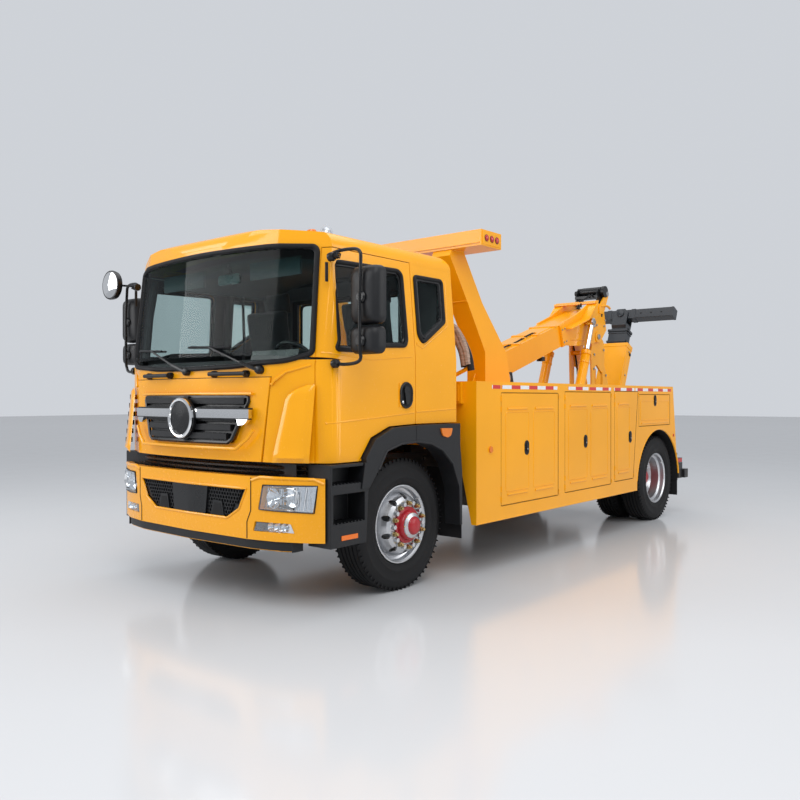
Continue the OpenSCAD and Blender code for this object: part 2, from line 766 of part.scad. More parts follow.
chassis_frame();
engine_block();
front_axle();
color(black) placed() knuckle();  // steering_knuckle_left
color(black) placed() mirror([1, 0, 0]) knuckle();  // steering_knuckle_right
rear_axle();
color(steel) placed() front_wheel();  // front_wheel_left
color(black) placed() tyre(front_track);  // front_tyre_left
color(steel) placed() mirror([1, 0, 0]) front_wheel();  // front_wheel_right
color(black) placed() tyre(-front_track);  // front_tyre_right
color(steel) placed() rear_set() rear_wheels();  // rear_wheels_left
color(black) placed() rear_set() twin_tyres();  // rear_tyres_left
color(steel) placed() rear_set() mirror([1, 0, 0]) rear_wheels();  // rear_wheels_right
color(black) placed() rear_set() mirror([1, 0, 0]) twin_tyres();  // rear_tyres_right
cab_shell();
cab_interior();
color(yellow) placed() door();  // door_left
color(yellow) placed() mirror([1, 0, 0]) door();  // door_right
color(clear) placed() door_glass();  // door_glass_left
color(clear) placed() mirror([1, 0, 0]) door_glass();  // door_glass_right
cab_glass();
front_panel();
color(black) placed() mirror_set(false);  // mirror_left
color(black) placed() mirror([1, 0, 0]) mirror_set(true);  // mirror_right
steps_and_flares();
bumper();
gantry();
service_body();
color(yellow) placed() locker_door(locker_rows[0]);  // locker_door_left_1
color(yellow) placed() locker_door(locker_rows[1]);  // locker_door_left_2
color(yellow) placed() locker_door(locker_rows[2]);  // locker_door_left_3
color(yellow) placed() locker_flap();  // locker_flap_left
color(yellow) placed() mirror([1, 0, 0]) locker_door(locker_rows[0]);  // locker_door_right_1
color(yellow) placed() mirror([1, 0, 0]) locker_door(locker_rows[1]);  // locker_door_right_2
color(yellow) placed() mirror([1, 0, 0]) locker_door(locker_rows[2]);  // locker_door_right_3
color(yellow) placed() mirror([1, 0, 0]) locker_flap();  // locker_flap_right
boom();
inner_boom();
lift_cylinder_barrels();
lift_cylinder_rods();
mast_link();
underlift_arm();
underlift_slide();
crossbar();
winch_drum();
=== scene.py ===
"""Looks of the heavy tow truck: paint, glass, tyres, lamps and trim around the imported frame.

Lengths are metres. The drawing helpers count Y from the front axle and move it to the frame.
"""

import math

import bmesh
import bpy
from bpy.props import FloatProperty, FloatVectorProperty, IntProperty, PointerProperty
from mathutils import Matrix, Vector


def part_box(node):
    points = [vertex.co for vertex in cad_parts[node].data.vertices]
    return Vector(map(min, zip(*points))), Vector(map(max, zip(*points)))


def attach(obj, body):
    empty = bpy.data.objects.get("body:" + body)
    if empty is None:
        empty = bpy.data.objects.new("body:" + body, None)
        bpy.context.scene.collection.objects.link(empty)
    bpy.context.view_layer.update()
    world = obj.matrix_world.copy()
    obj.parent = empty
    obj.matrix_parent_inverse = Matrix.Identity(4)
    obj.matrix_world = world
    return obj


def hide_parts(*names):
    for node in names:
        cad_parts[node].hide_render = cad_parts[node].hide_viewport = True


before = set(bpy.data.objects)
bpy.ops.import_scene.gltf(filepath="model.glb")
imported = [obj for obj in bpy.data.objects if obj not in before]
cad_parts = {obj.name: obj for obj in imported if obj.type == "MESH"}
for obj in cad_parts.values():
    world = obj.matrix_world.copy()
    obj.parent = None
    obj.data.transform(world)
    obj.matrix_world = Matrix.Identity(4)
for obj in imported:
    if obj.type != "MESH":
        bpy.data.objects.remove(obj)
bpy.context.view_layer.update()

bl_info = {
    "name": "Heavy tow truck looks",
    "version": (1, 0, 0),
    "blender": (4, 5, 0),
    "location": "View3D > Sidebar > Tow Truck",
    "description": "Builds the paint, glass, tyres, lamps and trim of a heavy tow truck",
    "category": "Object",
}


def middle(node):
    low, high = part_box(node)
    return (low + high) / 2


HUB_FRONT = middle("front_tyre_left")
HUB_REAR = middle("rear_tyres_left")
AXLE_Y = HUB_FRONT.y
WHEELBASE = HUB_REAR.y - HUB_FRONT.y
TYRE_R = HUB_FRONT.z
FRONT_X = HUB_FRONT.x
REAR_X = HUB_REAR.x
TWIN_GAP = 0.335


# ------------------------------------------------------------------ materials
def feed(tree, socket, value):
    """Links a socket, or sets its constant."""
    if isinstance(value, Val):
        value = value.socket
    if isinstance(value, bpy.types.NodeSocket):
        tree.links.new(value, socket)
    elif socket.type == "RGBA" and len(value) == 3:
        socket.default_value = (*value, 1.0)
    else:
        socket.default_value = value


def add_node(tree, kind, settings=None, sockets=None):
    """Adds a node: its settings first, then the value or link of each socket."""
    n = tree.nodes.new(kind)
    for key, value in (settings or {}).items():
        setattr(n, key, value)
    for key, value in (sockets or {}).items():
        feed(tree, n.inputs[key], value)
    return n


class Val:
    """A number inside a node tree, written with plain arithmetic."""

    def __init__(self, tree, socket):
        self.tree = tree
        self.socket = socket

    def _sum(self, op, a, b, clamp=False):
        n = add_node(self.tree, "ShaderNodeMath", {"operation": op, "use_clamp": clamp},
                     {0: a, 1: b})
        return Val(self.tree, n.outputs[0])

    def __add__(self, o):
        return self._sum("ADD", self, o)

    def __radd__(self, o):
        return self._sum("ADD", o, self)

    def __sub__(self, o):
        return self._sum("SUBTRACT", self, o)

    def __rsub__(self, o):
        return self._sum("SUBTRACT", o, self)

    def __mul__(self, o):
        return self._sum("MULTIPLY", self, o)

    def __rmul__(self, o):
        return self._sum("MULTIPLY", o, self)

    def __truediv__(self, o):
        return self._sum("DIVIDE", self, o)

    def __rtruediv__(self, o):
        return self._sum("DIVIDE", o, self)

    def __pow__(self, o):
        return self._sum("POWER", self, o)

    def larger(self, o):
        return self._sum("MAXIMUM", self, o)

    def above(self, o):
        return self._sum("GREATER_THAN", self, o)

    def below(self, o):
        return self._sum("LESS_THAN", self, o)

    def wrapped(self, step):
        return self._sum("FLOORED_MODULO", self, step)

    def held(self):
        return self._sum("ADD", self, 0.0, clamp=True)

    def ramp(self, low, high):
        return ((self - low) / (high - low)).held()


class Finish:
    """One procedural material on a Principled shader."""

    def __init__(self, name, **values):
        self.mat = bpy.data.materials.new(name)
        self.mat.use_nodes = True
        self.tree = self.mat.node_tree
        self.tree.nodes.clear()
        self.shader = self.node("ShaderNodeBsdfPrincipled")
        self.out = self.node("ShaderNodeOutputMaterial")
        self.tree.links.new(self.shader.outputs[0], self.out.inputs[0])
        self.place = self.node("ShaderNodeTexCoord").outputs["Object"]
        for key, value in values.items():
            self.set(key.replace("_", " "), value)

    def node(self, kind, settings=None, numbered=None, **named):
        sockets = dict(numbered or {})
        sockets.update({key.replace("_", " "): value for key, value in named.items()})
        return add_node(self.tree, kind, settings, sockets)

    def set(self, name, value):
        feed(self.tree, self.shader.inputs[name], value)

    def show_over(self, below, factor):
        """Lays the shader over another one by a factor and sends both to the output."""
        both = self.node("ShaderNodeMixShader", None,
                         {0: factor, 1: below, 2: self.shader.outputs[0]})
        feed(self.tree, self.out.inputs[0], both.outputs[0])

    def axis(self, letter):
        n = self.node("ShaderNodeSeparateXYZ", Vector=self.place)
        return Val(self.tree, n.outputs[letter])

    def stretched(self, scale):
        n = self.node("ShaderNodeVectorMath", {"operation": "MULTIPLY"}, {0: self.place, 1: scale})
        return n.outputs[0]

    def noise(self, scale, detail=3.0, rough=0.5, where=None):
        n = self.node("ShaderNodeTexNoise", Vector=where or self.place, Scale=scale,
                      Detail=detail, Roughness=rough)
        return Val(self.tree, n.outputs[0])

    def cells(self, scale, feature="F1", where=None):
        n = self.node("ShaderNodeTexVoronoi", {"feature": feature}, Vector=where or self.place,
                      Scale=scale)
        return Val(self.tree, n.outputs["Distance"])

    def blend(self, factor, a, b):
        """Mixes two colours; the colour sockets of a Mix node are its sixth and seventh."""
        n = self.node("ShaderNodeMix", {"data_type": "RGBA"}, {0: factor, 6: a, 7: b})
        return n.outputs[2]

    def bump(self, height, strength=0.3, distance=0.002):
        n = self.node("ShaderNodeBump", Height=height, Strength=strength, Distance=distance)
        self.set("Normal", n.outputs[0])


def paint(name, colour, dust=0.0, rough=0.26, coat=0.35):
    f = Finish(name, Coat_Weight=coat, Coat_Roughness=0.06, Specular_IOR_Level=0.28)
    cloud = f.noise(1.3, 3.0)
    deep = tuple(c * 0.90 for c in colour)
    base = f.blend(cloud.ramp(0.3, 0.7), deep, colour)
    low = (1.0 - f.axis("Z").ramp(0.35, 1.1)) * f.noise(3.0, 5.0, 0.6).ramp(0.35, 0.8)
    base = f.blend(low * dust, base, (0.42, 0.36, 0.28))
    f.set("Base Color", base)
    f.set("Roughness", f.noise(40.0, 2.0) * 0.08 + low * (dust * 0.5) + (rough - 0.04))
    f.bump(f.noise(220.0, 2.0), 0.04, 0.0006)
    return f.mat


def cab_paint(name, colour):
    """The body paint outside, and dark lining on the cab's inner faces."""
    f = Finish(name, Coat_Weight=0.35, Coat_Roughness=0.06, Specular_IOR_Level=0.28)
    cloud = f.noise(1.3, 3.0)
    outside = f.blend(cloud.ramp(0.3, 0.7), tuple(c * 0.90 for c in colour), colour)
    grain = f.noise(60.0, 3.0)
    lining = f.blend(grain, (0.030, 0.031, 0.034), (0.048, 0.049, 0.052))
    x = f.axis("X")
    x = (x * x) ** 0.5
    y = f.axis("Y") - AXLE_Y
    z = f.axis("Z")
    lean = (z - 1.78).held()
    bow = 3.041 - (17.64 - x * x) ** 0.5
    swept = x * 0.5086 - 1.493
    front = bow.larger(swept) + (z - 1.7).held() * 0.1139
    inside = x.below(1.165 - lean * 0.085) * y.above(front + 0.022) * y.below(0.515)
    roof = z.below((64.0 - x * x) ** 0.5 - 5.347) * y.above(-0.62) * x.below(0.98)
    under = z.below(2.515)
    inside = inside * z.above(1.345) * under.larger(roof)
    f.set("Base Color", f.blend(inside, outside, lining))
    f.set("Roughness", inside * 0.4 + grain * 0.05 + 0.24)
    f.bump(grain, 0.03, 0.0005)
    return f.mat


def plastic(name, colour, rough=0.48, grain=900.0, depth=0.25):
    f = Finish(name, Specular_IOR_Level=0.35)
    worn = f.noise(6.0, 4.0, 0.6).ramp(0.35, 0.75)
    lighter = tuple(min(1.0, c * 1.4 + 0.002) for c in colour)
    f.set("Base Color", f.blend(worn * 0.6, colour, lighter))
    f.set("Roughness", worn * 0.12 + (rough - 0.06))
    f.bump(f.cells(grain), depth, 0.0008)
    return f.mat


def rubber(name, colour, dusty=0.35):
    f = Finish(name, Specular_IOR_Level=0.3)
    spread = f.noise(9.0, 5.0, 0.65).ramp(0.35, 0.8)
    f.set("Base Color", f.blend(spread * dusty, colour, (0.020, 0.019, 0.018)))
    f.set("Roughness", spread * 0.16 + 0.60)
    f.bump(f.noise(260.0, 4.0, 0.6), 0.22, 0.0012)
    return f.mat


def metal(name, colour, rough=0.15, scratches=0.10, metallic=1.0):
    f = Finish(name, Metallic=metallic)
    fine = f.noise(60.0, 4.0, 0.6, f.stretched((1.0, 8.0, 8.0)))
    f.set("Base Color", f.blend(fine.ramp(0.3, 0.7), tuple(c * 0.86 for c in colour), colour))
    f.set("Roughness", fine * scratches + rough)
    f.bump(fine, 0.05, 0.0006)
    return f.mat


def casting(name, colour):
    f = Finish(name, Metallic=0.3)
    spots = f.noise(18.0, 5.0, 0.7)
    f.set("Base Color", f.blend(spots.ramp(0.35, 0.7), colour, (0.10, 0.07, 0.05)))
    f.set("Roughness", spots * 0.3 + 0.45)
    f.bump(f.noise(120.0, 4.0), 0.35, 0.002)
    return f.mat


def cloth(name, colour):
    f = Finish(name, Roughness=0.92, Sheen_Weight=0.25)
    warp = f.node("ShaderNodeTexWave", {"bands_direction": "Z"}, Vector=f.place, Scale=70.0)
    weft = f.node("ShaderNodeTexWave", {"bands_direction": "X"}, Vector=f.place, Scale=70.0)
    weave = Val(f.tree, warp.outputs["Fac"]) * Val(f.tree, weft.outputs["Fac"])
    worn = f.noise(8.0, 4.0)
    f.set("Base Color", f.blend(weave * 0.4 + worn * 0.4, colour, tuple(c * 1.9 for c in colour)))
    f.bump(weave, 0.35, 0.0015)
    return f.mat


def lens(name, colour, clear=0.5, rough=0.05, ribs=90.0):
    f = Finish(name, Coat_Weight=0.5)
    see = f.node("ShaderNodeBsdfTransparent", Color=colour)
    wave = f.node("ShaderNodeTexWave", {"bands_direction": "X"}, Vector=f.place, Scale=ribs)
    f.set("Base Color", f.blend(f.noise(30.0), tuple(c * 0.8 for c in colour), colour))
    f.set("Roughness", f.noise(50.0) * 0.05 + rough)
    f.bump(Val(f.tree, wave.outputs["Fac"]), 0.12, 0.001)
    f.show_over(see.outputs[0], 1.0 - clear)
    return f.mat


def pane(name, tint, band=False):
    """Window glass: see-through with reflections, a tinted band on top of the windscreen."""
    f = Finish(name, Roughness=0.015, Specular_IOR_Level=0.8)
    f.set("Base Color", (0.02, 0.025, 0.028))
    see = f.node("ShaderNodeBsdfTransparent", Color=tint).outputs[0]
    if band:
        height = f.axis("Z") + f.noise(2.0) * 0.01
        shade = f.node("ShaderNodeBsdfTransparent", Color=(0.22, 0.50, 0.50)).outputs[0]
        see = f.node("ShaderNodeMixShader", None,
                     {0: height.ramp(2.33, 2.47), 1: see, 2: shade}).outputs[0]
    sheen = f.node("ShaderNodeFresnel", IOR=1.5)
    back = Val(f.tree, f.node("ShaderNodeNewGeometry").outputs["Backfacing"])
    edge = Val(f.tree, sheen.outputs[0]) * 1.3 + 0.03 + f.noise(1.5) * 0.02
    f.show_over(see, (edge * (1.0 - back)).held())
    return f.mat


def marking(name):
    """Reflective strip: red and white blocks in turn along the truck."""
    f = Finish(name, Coat_Weight=0.4)
    along = (f.axis("Y") + 20.0).wrapped(0.30)
    red = along.below(0.15)
    cell = f.cells(260.0)
    f.set("Base Color", f.blend(red, (0.78, 0.80, 0.82), (0.62, 0.02, 0.02)))
    f.set("Roughness", cell * 0.2 + 0.22)
    f.bump(cell, 0.2, 0.0006)
    return f.mat


def wrapping(name, colour):
    """Film wrapped round the hoses: a dull mixed surface."""
    f = Finish(name)
    grain = f.noise(14.0, 6.0, 0.7, f.stretched((1.0, 1.0, 5.0)))
    f.set("Base Color", f.blend(grain.ramp(0.35, 0.65), colour, tuple(c * 0.45 for c in colour)))
    f.set("Roughness", grain * 0.3 + 0.35)
    f.bump(grain, 0.5, 0.004)
    return f.mat


MATS = {}


def mat(name):
    return MATS[name]


def make_materials(p):
    yellow = tuple(p.paint_colour)
    MATS.update(
        yellow=paint("yellow_gloss_paint", yellow, 0.04),
        cab=cab_paint("cab_paint_and_lining", yellow),
        joint=paint("joint_shadow_paint", tuple(c * 0.32 for c in yellow), 0.1, 0.5, 0.0),
        yellow_low=paint("yellow_structure_paint", yellow, 0.05, 0.30, 0.3),
        chassis=paint("black_chassis_paint", (0.016, 0.016, 0.018), 0.5, 0.45, 0.1),
        plastic=plastic("black_grained_plastic", (0.007, 0.0075, 0.009)),
        smooth=plastic("black_smooth_plastic", (0.006, 0.0065, 0.0075), 0.30, 400.0, 0.05),
        slate=paint("slate_grey_paint", (0.026, 0.030, 0.036), 0.1, 0.34, 0.2),
        tyre=rubber("tyre_rubber", (0.005, 0.005, 0.006)),
        flap=rubber("flap_rubber", (0.010, 0.010, 0.011), 0.2),
        seal=rubber("seal_rubber", (0.006, 0.006, 0.007), 0.05),
        alloy=metal("polished_wheel_metal", (0.66, 0.67, 0.69), 0.27, 0.14),
        chrome=metal("chrome_plate", (0.86, 0.87, 0.88), 0.04, 0.05),
        steel=metal("bare_steel", (0.45, 0.45, 0.46), 0.28, 0.2),
        brass=metal("brass_nut", (0.55, 0.40, 0.18), 0.25, 0.15),
        red=paint("red_hub_paint", (0.42, 0.012, 0.022), 0.1, 0.3, 0.3),
        iron=casting("grey_cast_iron", (0.06, 0.06, 0.065)),
        trim=plastic("dark_cab_lining", (0.040, 0.041, 0.044), 0.7, 500.0, 0.3),
        lining=plastic("grey_roof_lining", (0.10, 0.105, 0.11), 0.85, 300.0, 0.3),
        cloth=cloth("seat_cloth", (0.028, 0.029, 0.032)),
        glass=pane("window_glass", (0.80, 0.86, 0.86)),
        screen=pane("windscreen_glass", (0.86, 0.92, 0.91), True),
        lamp=lens("clear_lamp_glass", (0.93, 0.95, 0.97), 0.88, 0.02, 60.0),
        amber=lens("amber_lamp_glass", (0.95, 0.26, 0.02), 0.15),
        ruby=lens("red_lamp_glass", (0.62, 0.015, 0.012), 0.15),
        mirror=metal("mirror_face", (0.92, 0.93, 0.94), 0.01, 0.01),
        strip=marking("reflective_strip"),
        orange=plastic("orange_reflector", (0.75, 0.16, 0.02), 0.25, 700.0, 0.3),
        film=wrapping("wrapped_hose_film", (0.45, 0.30, 0.22)),
        rope=casting("steel_wire_rope", (0.25, 0.25, 0.26)),
    )


# ------------------------------------------------------------------ drawing
class Shape:
    """Gathers solids with their materials and turns them into one object."""

    def __init__(self):
        self.points = []
        self.faces = []
        self.which = []
        self.names = []

    def add(self, points, faces, name):
        if name not in self.names:
            self.names.append(name)
        start = len(self.points)
        self.points += [Vector(p) for p in points]
        for face in faces:
            self.faces.append([start + i for i in face])
            self.which.append(self.names.index(name))

    def loft(self, rings, name, closed=False, caps=(True, True)):
        """Skins rings of equal length in turn, and caps the first and last of an open row."""
        n, steps = len(rings), len(rings[0])
        faces = []
        for i in range(n if closed else n - 1):
            j = (i + 1) % n
            for k in range(steps):
                m = (k + 1) % steps
                faces.append([i * steps + k, i * steps + m, j * steps + m, j * steps + k])
        if not closed and caps[0]:
            faces.append(list(range(steps))[::-1])
        if not closed and caps[1]:
            faces.append([(n - 1) * steps + k for k in range(steps)])
        self.add([p for ring in rings for p in ring], faces, name)

    def extrude(self, outline, shift, name):
        n = len(outline)
        shift = Vector(shift)
        pts = [Vector(p) for p in outline] + [Vector(p) + shift for p in outline]
        faces = [[i, (i + 1) % n, n + (i + 1) % n, n + i] for i in range(n)]
        faces += [list(range(n))[::-1], [n + i for i in range(n)]]
        self.add(pts, faces, name)

    def block(self, x, y, z, name):
        self.extrude([(x[0], y[0], z[0]), (x[1], y[0], z[0]), (x[1], y[1], z[0]),
            (x[0], y[1], z[0])],
                     (0, 0, z[1] - z[0]), name)

    def side(self, outline, x0, x1, name):
        self.extrude([(x0, y, z) for y, z in outline], (x1 - x0, 0, 0), name)

    def front(self, outline, y0, y1, name):
        self.extrude([(x, y0, z) for x, z in outline], (0, y1 - y0, 0), name)

    def turned(self, profile, centre, axis, name, steps=40, closed=False):
        """Turns (radius, height) points about an axis through centre."""
        axis = Vector(axis).normalized()
        u = axis.orthogonal().normalized()
        w = axis.cross(u)
        c = Vector(centre)
        angles = [2 * math.pi * k / steps for k in range(steps)]
        rings = [[c + axis * h + (u * math.cos(a) + w * math.sin(a)) * r for a in angles]
                 for r, h in profile]
        self.loft(rings, name, closed, (profile[0][0] > 1e-6, profile[-1][0] > 1e-6))

    def bolt(self, r, rim, top, place, axis, name="steel"):
        """A six-sided head of radius r, its rim and its top at these heights."""
        self.turned([(r, 0.0), (r, rim), (0.0, top)], place, axis, name, 6)

    def rod(self, a, b, r, name, steps=16):
        a, b = Vector(a), Vector(b)
        self.turned([(r, 0), (r, (b - a).length)], a, b - a, name, steps)

    def tube(self, path, r, name, steps=10, closed=False, flat=None):
        """A pipe along a path; flat squeezes it along a direction."""
        path = [Vector(p) for p in path]
        n = len(path)
        rings = []
        last = None
        for i, p in enumerate(path):
            before = path[(i - 1) % n] if closed or i else p
            after = path[(i + 1) % n] if closed or i < n - 1 else p
            t = (after - before).normalized()
            if last is None:
                u = t.orthogonal().normalized()
            else:
                u = (last - t * last.dot(t)).normalized()
            last = u
            w = t.cross(u)
            ring = []
            for k in range(steps):
                a = 2 * math.pi * k / steps
                d = (u * math.cos(a) + w * math.sin(a)) * r
                if flat is not None:
                    f = Vector(flat[0]).normalized()
                    d = d - f * d.dot(f) * (1 - flat[1])
                ring.append(p + d)
            rings.append(ring)
        self.loft(rings, name, closed)

    def hose(self, points, parts, r, name, steps=8):
        """A pipe that curves through the points, with some parts between each two."""
        self.tube(smooth_path(points, parts), r, name, steps)

    def sheet(self, rows, name):
        """A single skin over a grid of points."""
        h, w = len(rows), len(rows[0])
        pts = [p for row in rows for p in row]
        faces = [[i * w + j, i * w + j + 1, (i + 1) * w + j + 1, (i + 1) * w + j]
                 for i in range(h - 1) for j in range(w - 1)]
        self.add(pts, faces, name)

    def done(self, name, body, bevel=0.0, replaces=(), slot=None):
        mesh = bpy.data.meshes.new(name)
        mesh.from_pydata([(p.x, p.y + AXLE_Y, p.z) for p in self.points], [], self.faces)
        for n in self.names:
            mesh.materials.append(mat(n))
        for poly, index in zip(mesh.polygons, self.which):
            poly.material_index = index
            poly.use_smooth = True
        mesh.validate()
        obj = bpy.data.objects.new(name, mesh)
        bpy.context.scene.collection.objects.link(obj)
        tidy(obj)
        if bevel:
            add_bevel(obj, bevel)
        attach(obj, body)
        if replaces:
            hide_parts(*replaces)
        return obj


def tidy(obj):
    """Faces outward, hard edges marked."""
    b = bmesh.new()
    b.from_mesh(obj.data)
    bmesh.ops.recalc_face_normals(b, faces=b.faces)
    for e in b.edges:
        if len(e.link_faces) == 2:
            e.smooth = e.calc_face_angle(0.0) < math.radians(38)
    b.to_mesh(obj.data)
    b.free()


def add_bevel(obj, width, segments=2):
    m = obj.modifiers.new("edge", "BEVEL")
    m.width = width
    m.segments = segments
    m.limit_method = "ANGLE"
    m.angle_limit = math.radians(38)
    m.use_clamp_overlap = True
    m.harden_normals = False
    w = obj.modifiers.new("shade", "WEIGHTED_NORMAL")
    w.weight = 50


def dress(node, name, bevel=0.004):
    """Material and softened edges for a CAD node that stays in view."""
    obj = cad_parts[node]
    obj.data.materials.clear()
    obj.data.materials.append(mat(name))
    if bevel:
        m = obj.modifiers.new("weld", "WELD")
        m.merge_threshold = 0.00005
        add_bevel(obj, bevel)


NAMED_SIDES = (("left", 1), ("right", -1))


def sides():
    return (1, -1)


def span(s, a, b):
    """Two distances from the middle as a rising range on side s."""
    return tuple(sorted((s * a, s * b)))


# ------------------------------------------------------------------ cab skin
LEAN = math.radians(6.5)


def plan_y(x):
    """Front of the cab below the belt line at a distance x from the middle."""
    x = abs(x)
    if x <= 0.780:
        return 3.035 - math.sqrt(4.2 ** 2 - x * x)
    if x <= 1.119:
        return -1.096 + (x - 0.780) * (1.096 - 0.9236) / (1.119 - 0.780)
    d = min(x - 1.06, 0.1299)
    return -0.8077 - math.sqrt(0.13 ** 2 - d * d)


def skin_y(x, z):
    lean = 0.006 + plan_y(x) / math.cos(LEAN) + math.tan(LEAN) * (z - 1.7)
    return min(plan_y(x), lean) if z < 1.73 else lean


def on_skin(x, z, out=0.0):
    """A point on the cab's front, moved out along the skin's normal."""
    y = skin_y(x, z)
    e = 0.004
    dx = (skin_y(x + e, z) - skin_y(x - e, z)) / (2 * e)
    n = Vector((dx, -1.0, 0.0)).normalized()
    return Vector((x, y, z)) + n * out


def side_x(z):
    """Half width of the cab at a height."""
    if z < 1.78:
        return 1.190
    if z < 2.485:
        return 1.190 - 0.060 * (z - 1.78) / 0.705
    return 1.130 - (z - 2.485) * 0.9


def dense(points, step=0.04, closed=True):
    out = []
    n = len(points)
    for i in range(n if closed else n - 1):
        a, b = points[i], points[(i + 1) % n]
        d = math.dist(a, b)
        k = max(1, int(d / step))
        out += [tuple(a[j] + (b[j] - a[j]) * t / k for j in range(len(a))) for t in range(k)]
    if not closed:
        out.append(tuple(points[-1]))
    return out


def rounded(points, radius, steps=5):
    """Rounds the corners of a closed outline of (a, b) points."""
    out = []
    n = len(points)
    for i in range(n):
        p, q, r = (Vector(points[j % n]) for j in (i - 1, i, i + 1))
        a = (p - q)
        b = (r - q)
        cut = min(radius, a.length * 0.45, b.length * 0.45)
        s, e = q + a.normalized() * cut, q + b.normalized() * cut
        for k in range(steps + 1):
            t = k / steps
            out.append(tuple(s * (1 - t) ** 2 + q * 2 * t * (1 - t) + e * t * t))
    return out


def bowed(shape, x0, x1, z0, z1, out, back, name, steps=14):
    """A bar that follows the cab's bowed front."""
    xs = [x0 + (x1 - x0) * i / steps for i in range(steps + 1)]
    front = [on_skin(x, (z0 + z1) / 2, out) for x in xs]
    rear = [on_skin(x, (z0 + z1) / 2, back) for x in xs]
    shape.loft([[(p.x, p.y, z0), (p.x, p.y, z1), (q.x, q.y, z1), (q.x, q.y, z0)]
                for p, q in zip(front, rear)], name)


def span_at(outline, x):
    """Lowest and highest z where an upright line at x crosses an outline."""
    found = []
    for (a, za), (b, zb) in zip(outline, outline[1:] + outline[:1]):
        if min(a, b) <= x <= max(a, b):
            found += [za, zb] if abs(b - a) < 1e-9 else [za + (zb - za) * (x - a) / (b - a)]
    return min(found), max(found)


def plate_on(shape, outline, height_of, name, depth=0.01, out=0.0):
    """A plate whose outline (x, z) is laid in narrow upright strips on a curved front."""
    left = min(x for x, z in outline)
    right = max(x for x, z in outline)
    n = max(2, math.ceil((right - left) / 0.025))
    rings = []
    for i in range(n + 1):
        x = left + 1e-6 + (right - left - 2e-6) * i / n
        low, high = span_at(outline, x)
        rings.append([(x, height_of(x, z) - out + back, z)
                      for z, back in ((low, 0.0), (high, 0.0), (high, depth), (low, depth))])
    shape.loft(rings, name)


HEAD_LAMP_FLOOR = -1.048
FOG_LAMP_FLOOR = -1.070
GRILLE_FLOOR = -1.150
BUMPER = [(0, -1.188), (0.640, -1.162), (0.880, -1.112), (1.080, -1.022), (1.185, -0.950)]


def sunk(x, floor, deep=0.050):
    """How far back a lamp's or grille's bowl can stand in the bumper's pocket."""
    y = bumper_y(x)
    return min(y + deep, floor - 0.002) if y < floor - 0.006 else y - 0.004


def bumper_y(x):
    x = abs(x)
    for (a, ya), (b, yb) in zip(BUMPER, BUMPER[1:]):
        if x <= b:
            return ya + (yb - ya) * (x - a) / (b - a)
    return BUMPER[-1][1]


# ------------------------------------------------------------------ settings
class TowTruckSizes(bpy.types.PropertyGroup):
    """Sizes that a user may change."""

    tread_depth: FloatProperty(name="Tread depth", description="Depth of the tyre grooves",
                               default=0.014, min=0.004, max=0.02, unit="LENGTH")
    seat_fill: FloatProperty(name="Seat fill", description="How firmly the seats are stuffed",
                             default=0.7, min=0.0, max=1.0, subtype="FACTOR")
    honeycomb: FloatProperty(name="Honeycomb cell", description="Width of one grille cell",
                             default=0.030, min=0.02, max=0.06, unit="LENGTH")
    seal_width: FloatProperty(name="Windscreen seal", description="Half width of the rubber seal",
                              default=0.017, min=0.008, max=0.03, unit="LENGTH")


class TowTruckColours(bpy.types.PropertyGroup):
    """Colours that a user may change."""

    paint_colour: FloatVectorProperty(name="Body paint", description="Colour of the cab and body",
                                      default=(0.96, 0.405, 0.003), min=0, max=1, size=3,
                                      subtype="COLOR")
    floor_colour: FloatVectorProperty(name="Floor", description="Colour of the studio floor",
                                      default=(0.64, 0.65, 0.665), min=0, max=1, size=3,
                                      subtype="COLOR")


def sizes():
    return bpy.context.scene.tow_truck_sizes


def colours():
    return bpy.context.scene.tow_truck_colours


# ------------------------------------------------------------------ operators
class TOWTRUCK_OT_finishes(bpy.types.Operator):
    """Makes the materials and dresses the CAD nodes that stay in view"""

    bl_idname = "towtruck.finishes"
    bl_label = "Paint and metal"

    def execute(self, context):
        make_materials(colours())
        looks = {
            "cab": ("cab_shell", "door_left", "door_right"),
            "yellow": ("front_panel", "bumper"),
            "yellow_low": ("gantry", "service_body", "boom", "inner_boom", "mast_link",
                           "lift_cylinder_barrels", "underlift_arm"),
            "chassis": ("chassis_frame", "front_axle", "rear_axle", "steering_knuckle_left",
                        "steering_knuckle_right"),
            "plastic": ("steps_and_flares", "mirror_left", "mirror_right"),
            "slate": ("underlift_slide", "crossbar"),
            "alloy": ("front_wheel_left", "front_wheel_right", "rear_wheels_left",
                      "rear_wheels_right"),
            "chrome": ("lift_cylinder_rods",),
            "iron": ("engine_block",),
            "trim": ("cab_interior",),
            "smooth": ("winch_drum",),
        }
        for name, nodes in looks.items():
            for node in nodes:
                dress(node, name, {"alloy": 0.0, "chrome": 0.002, "trim": 0.008}.get(name, 0.005))
        for side in ("left", "right"):
            for k in ("door", "flap"):
                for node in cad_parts:
                    if node.startswith(f"locker_{k}_{side}"):
                        dress(node, "yellow_low", 0.003)
            dress(f"door_glass_{side}", "glass", 0.0)
        dress("cab_glass", "screen", 0.0)
        return {"FINISHED"}


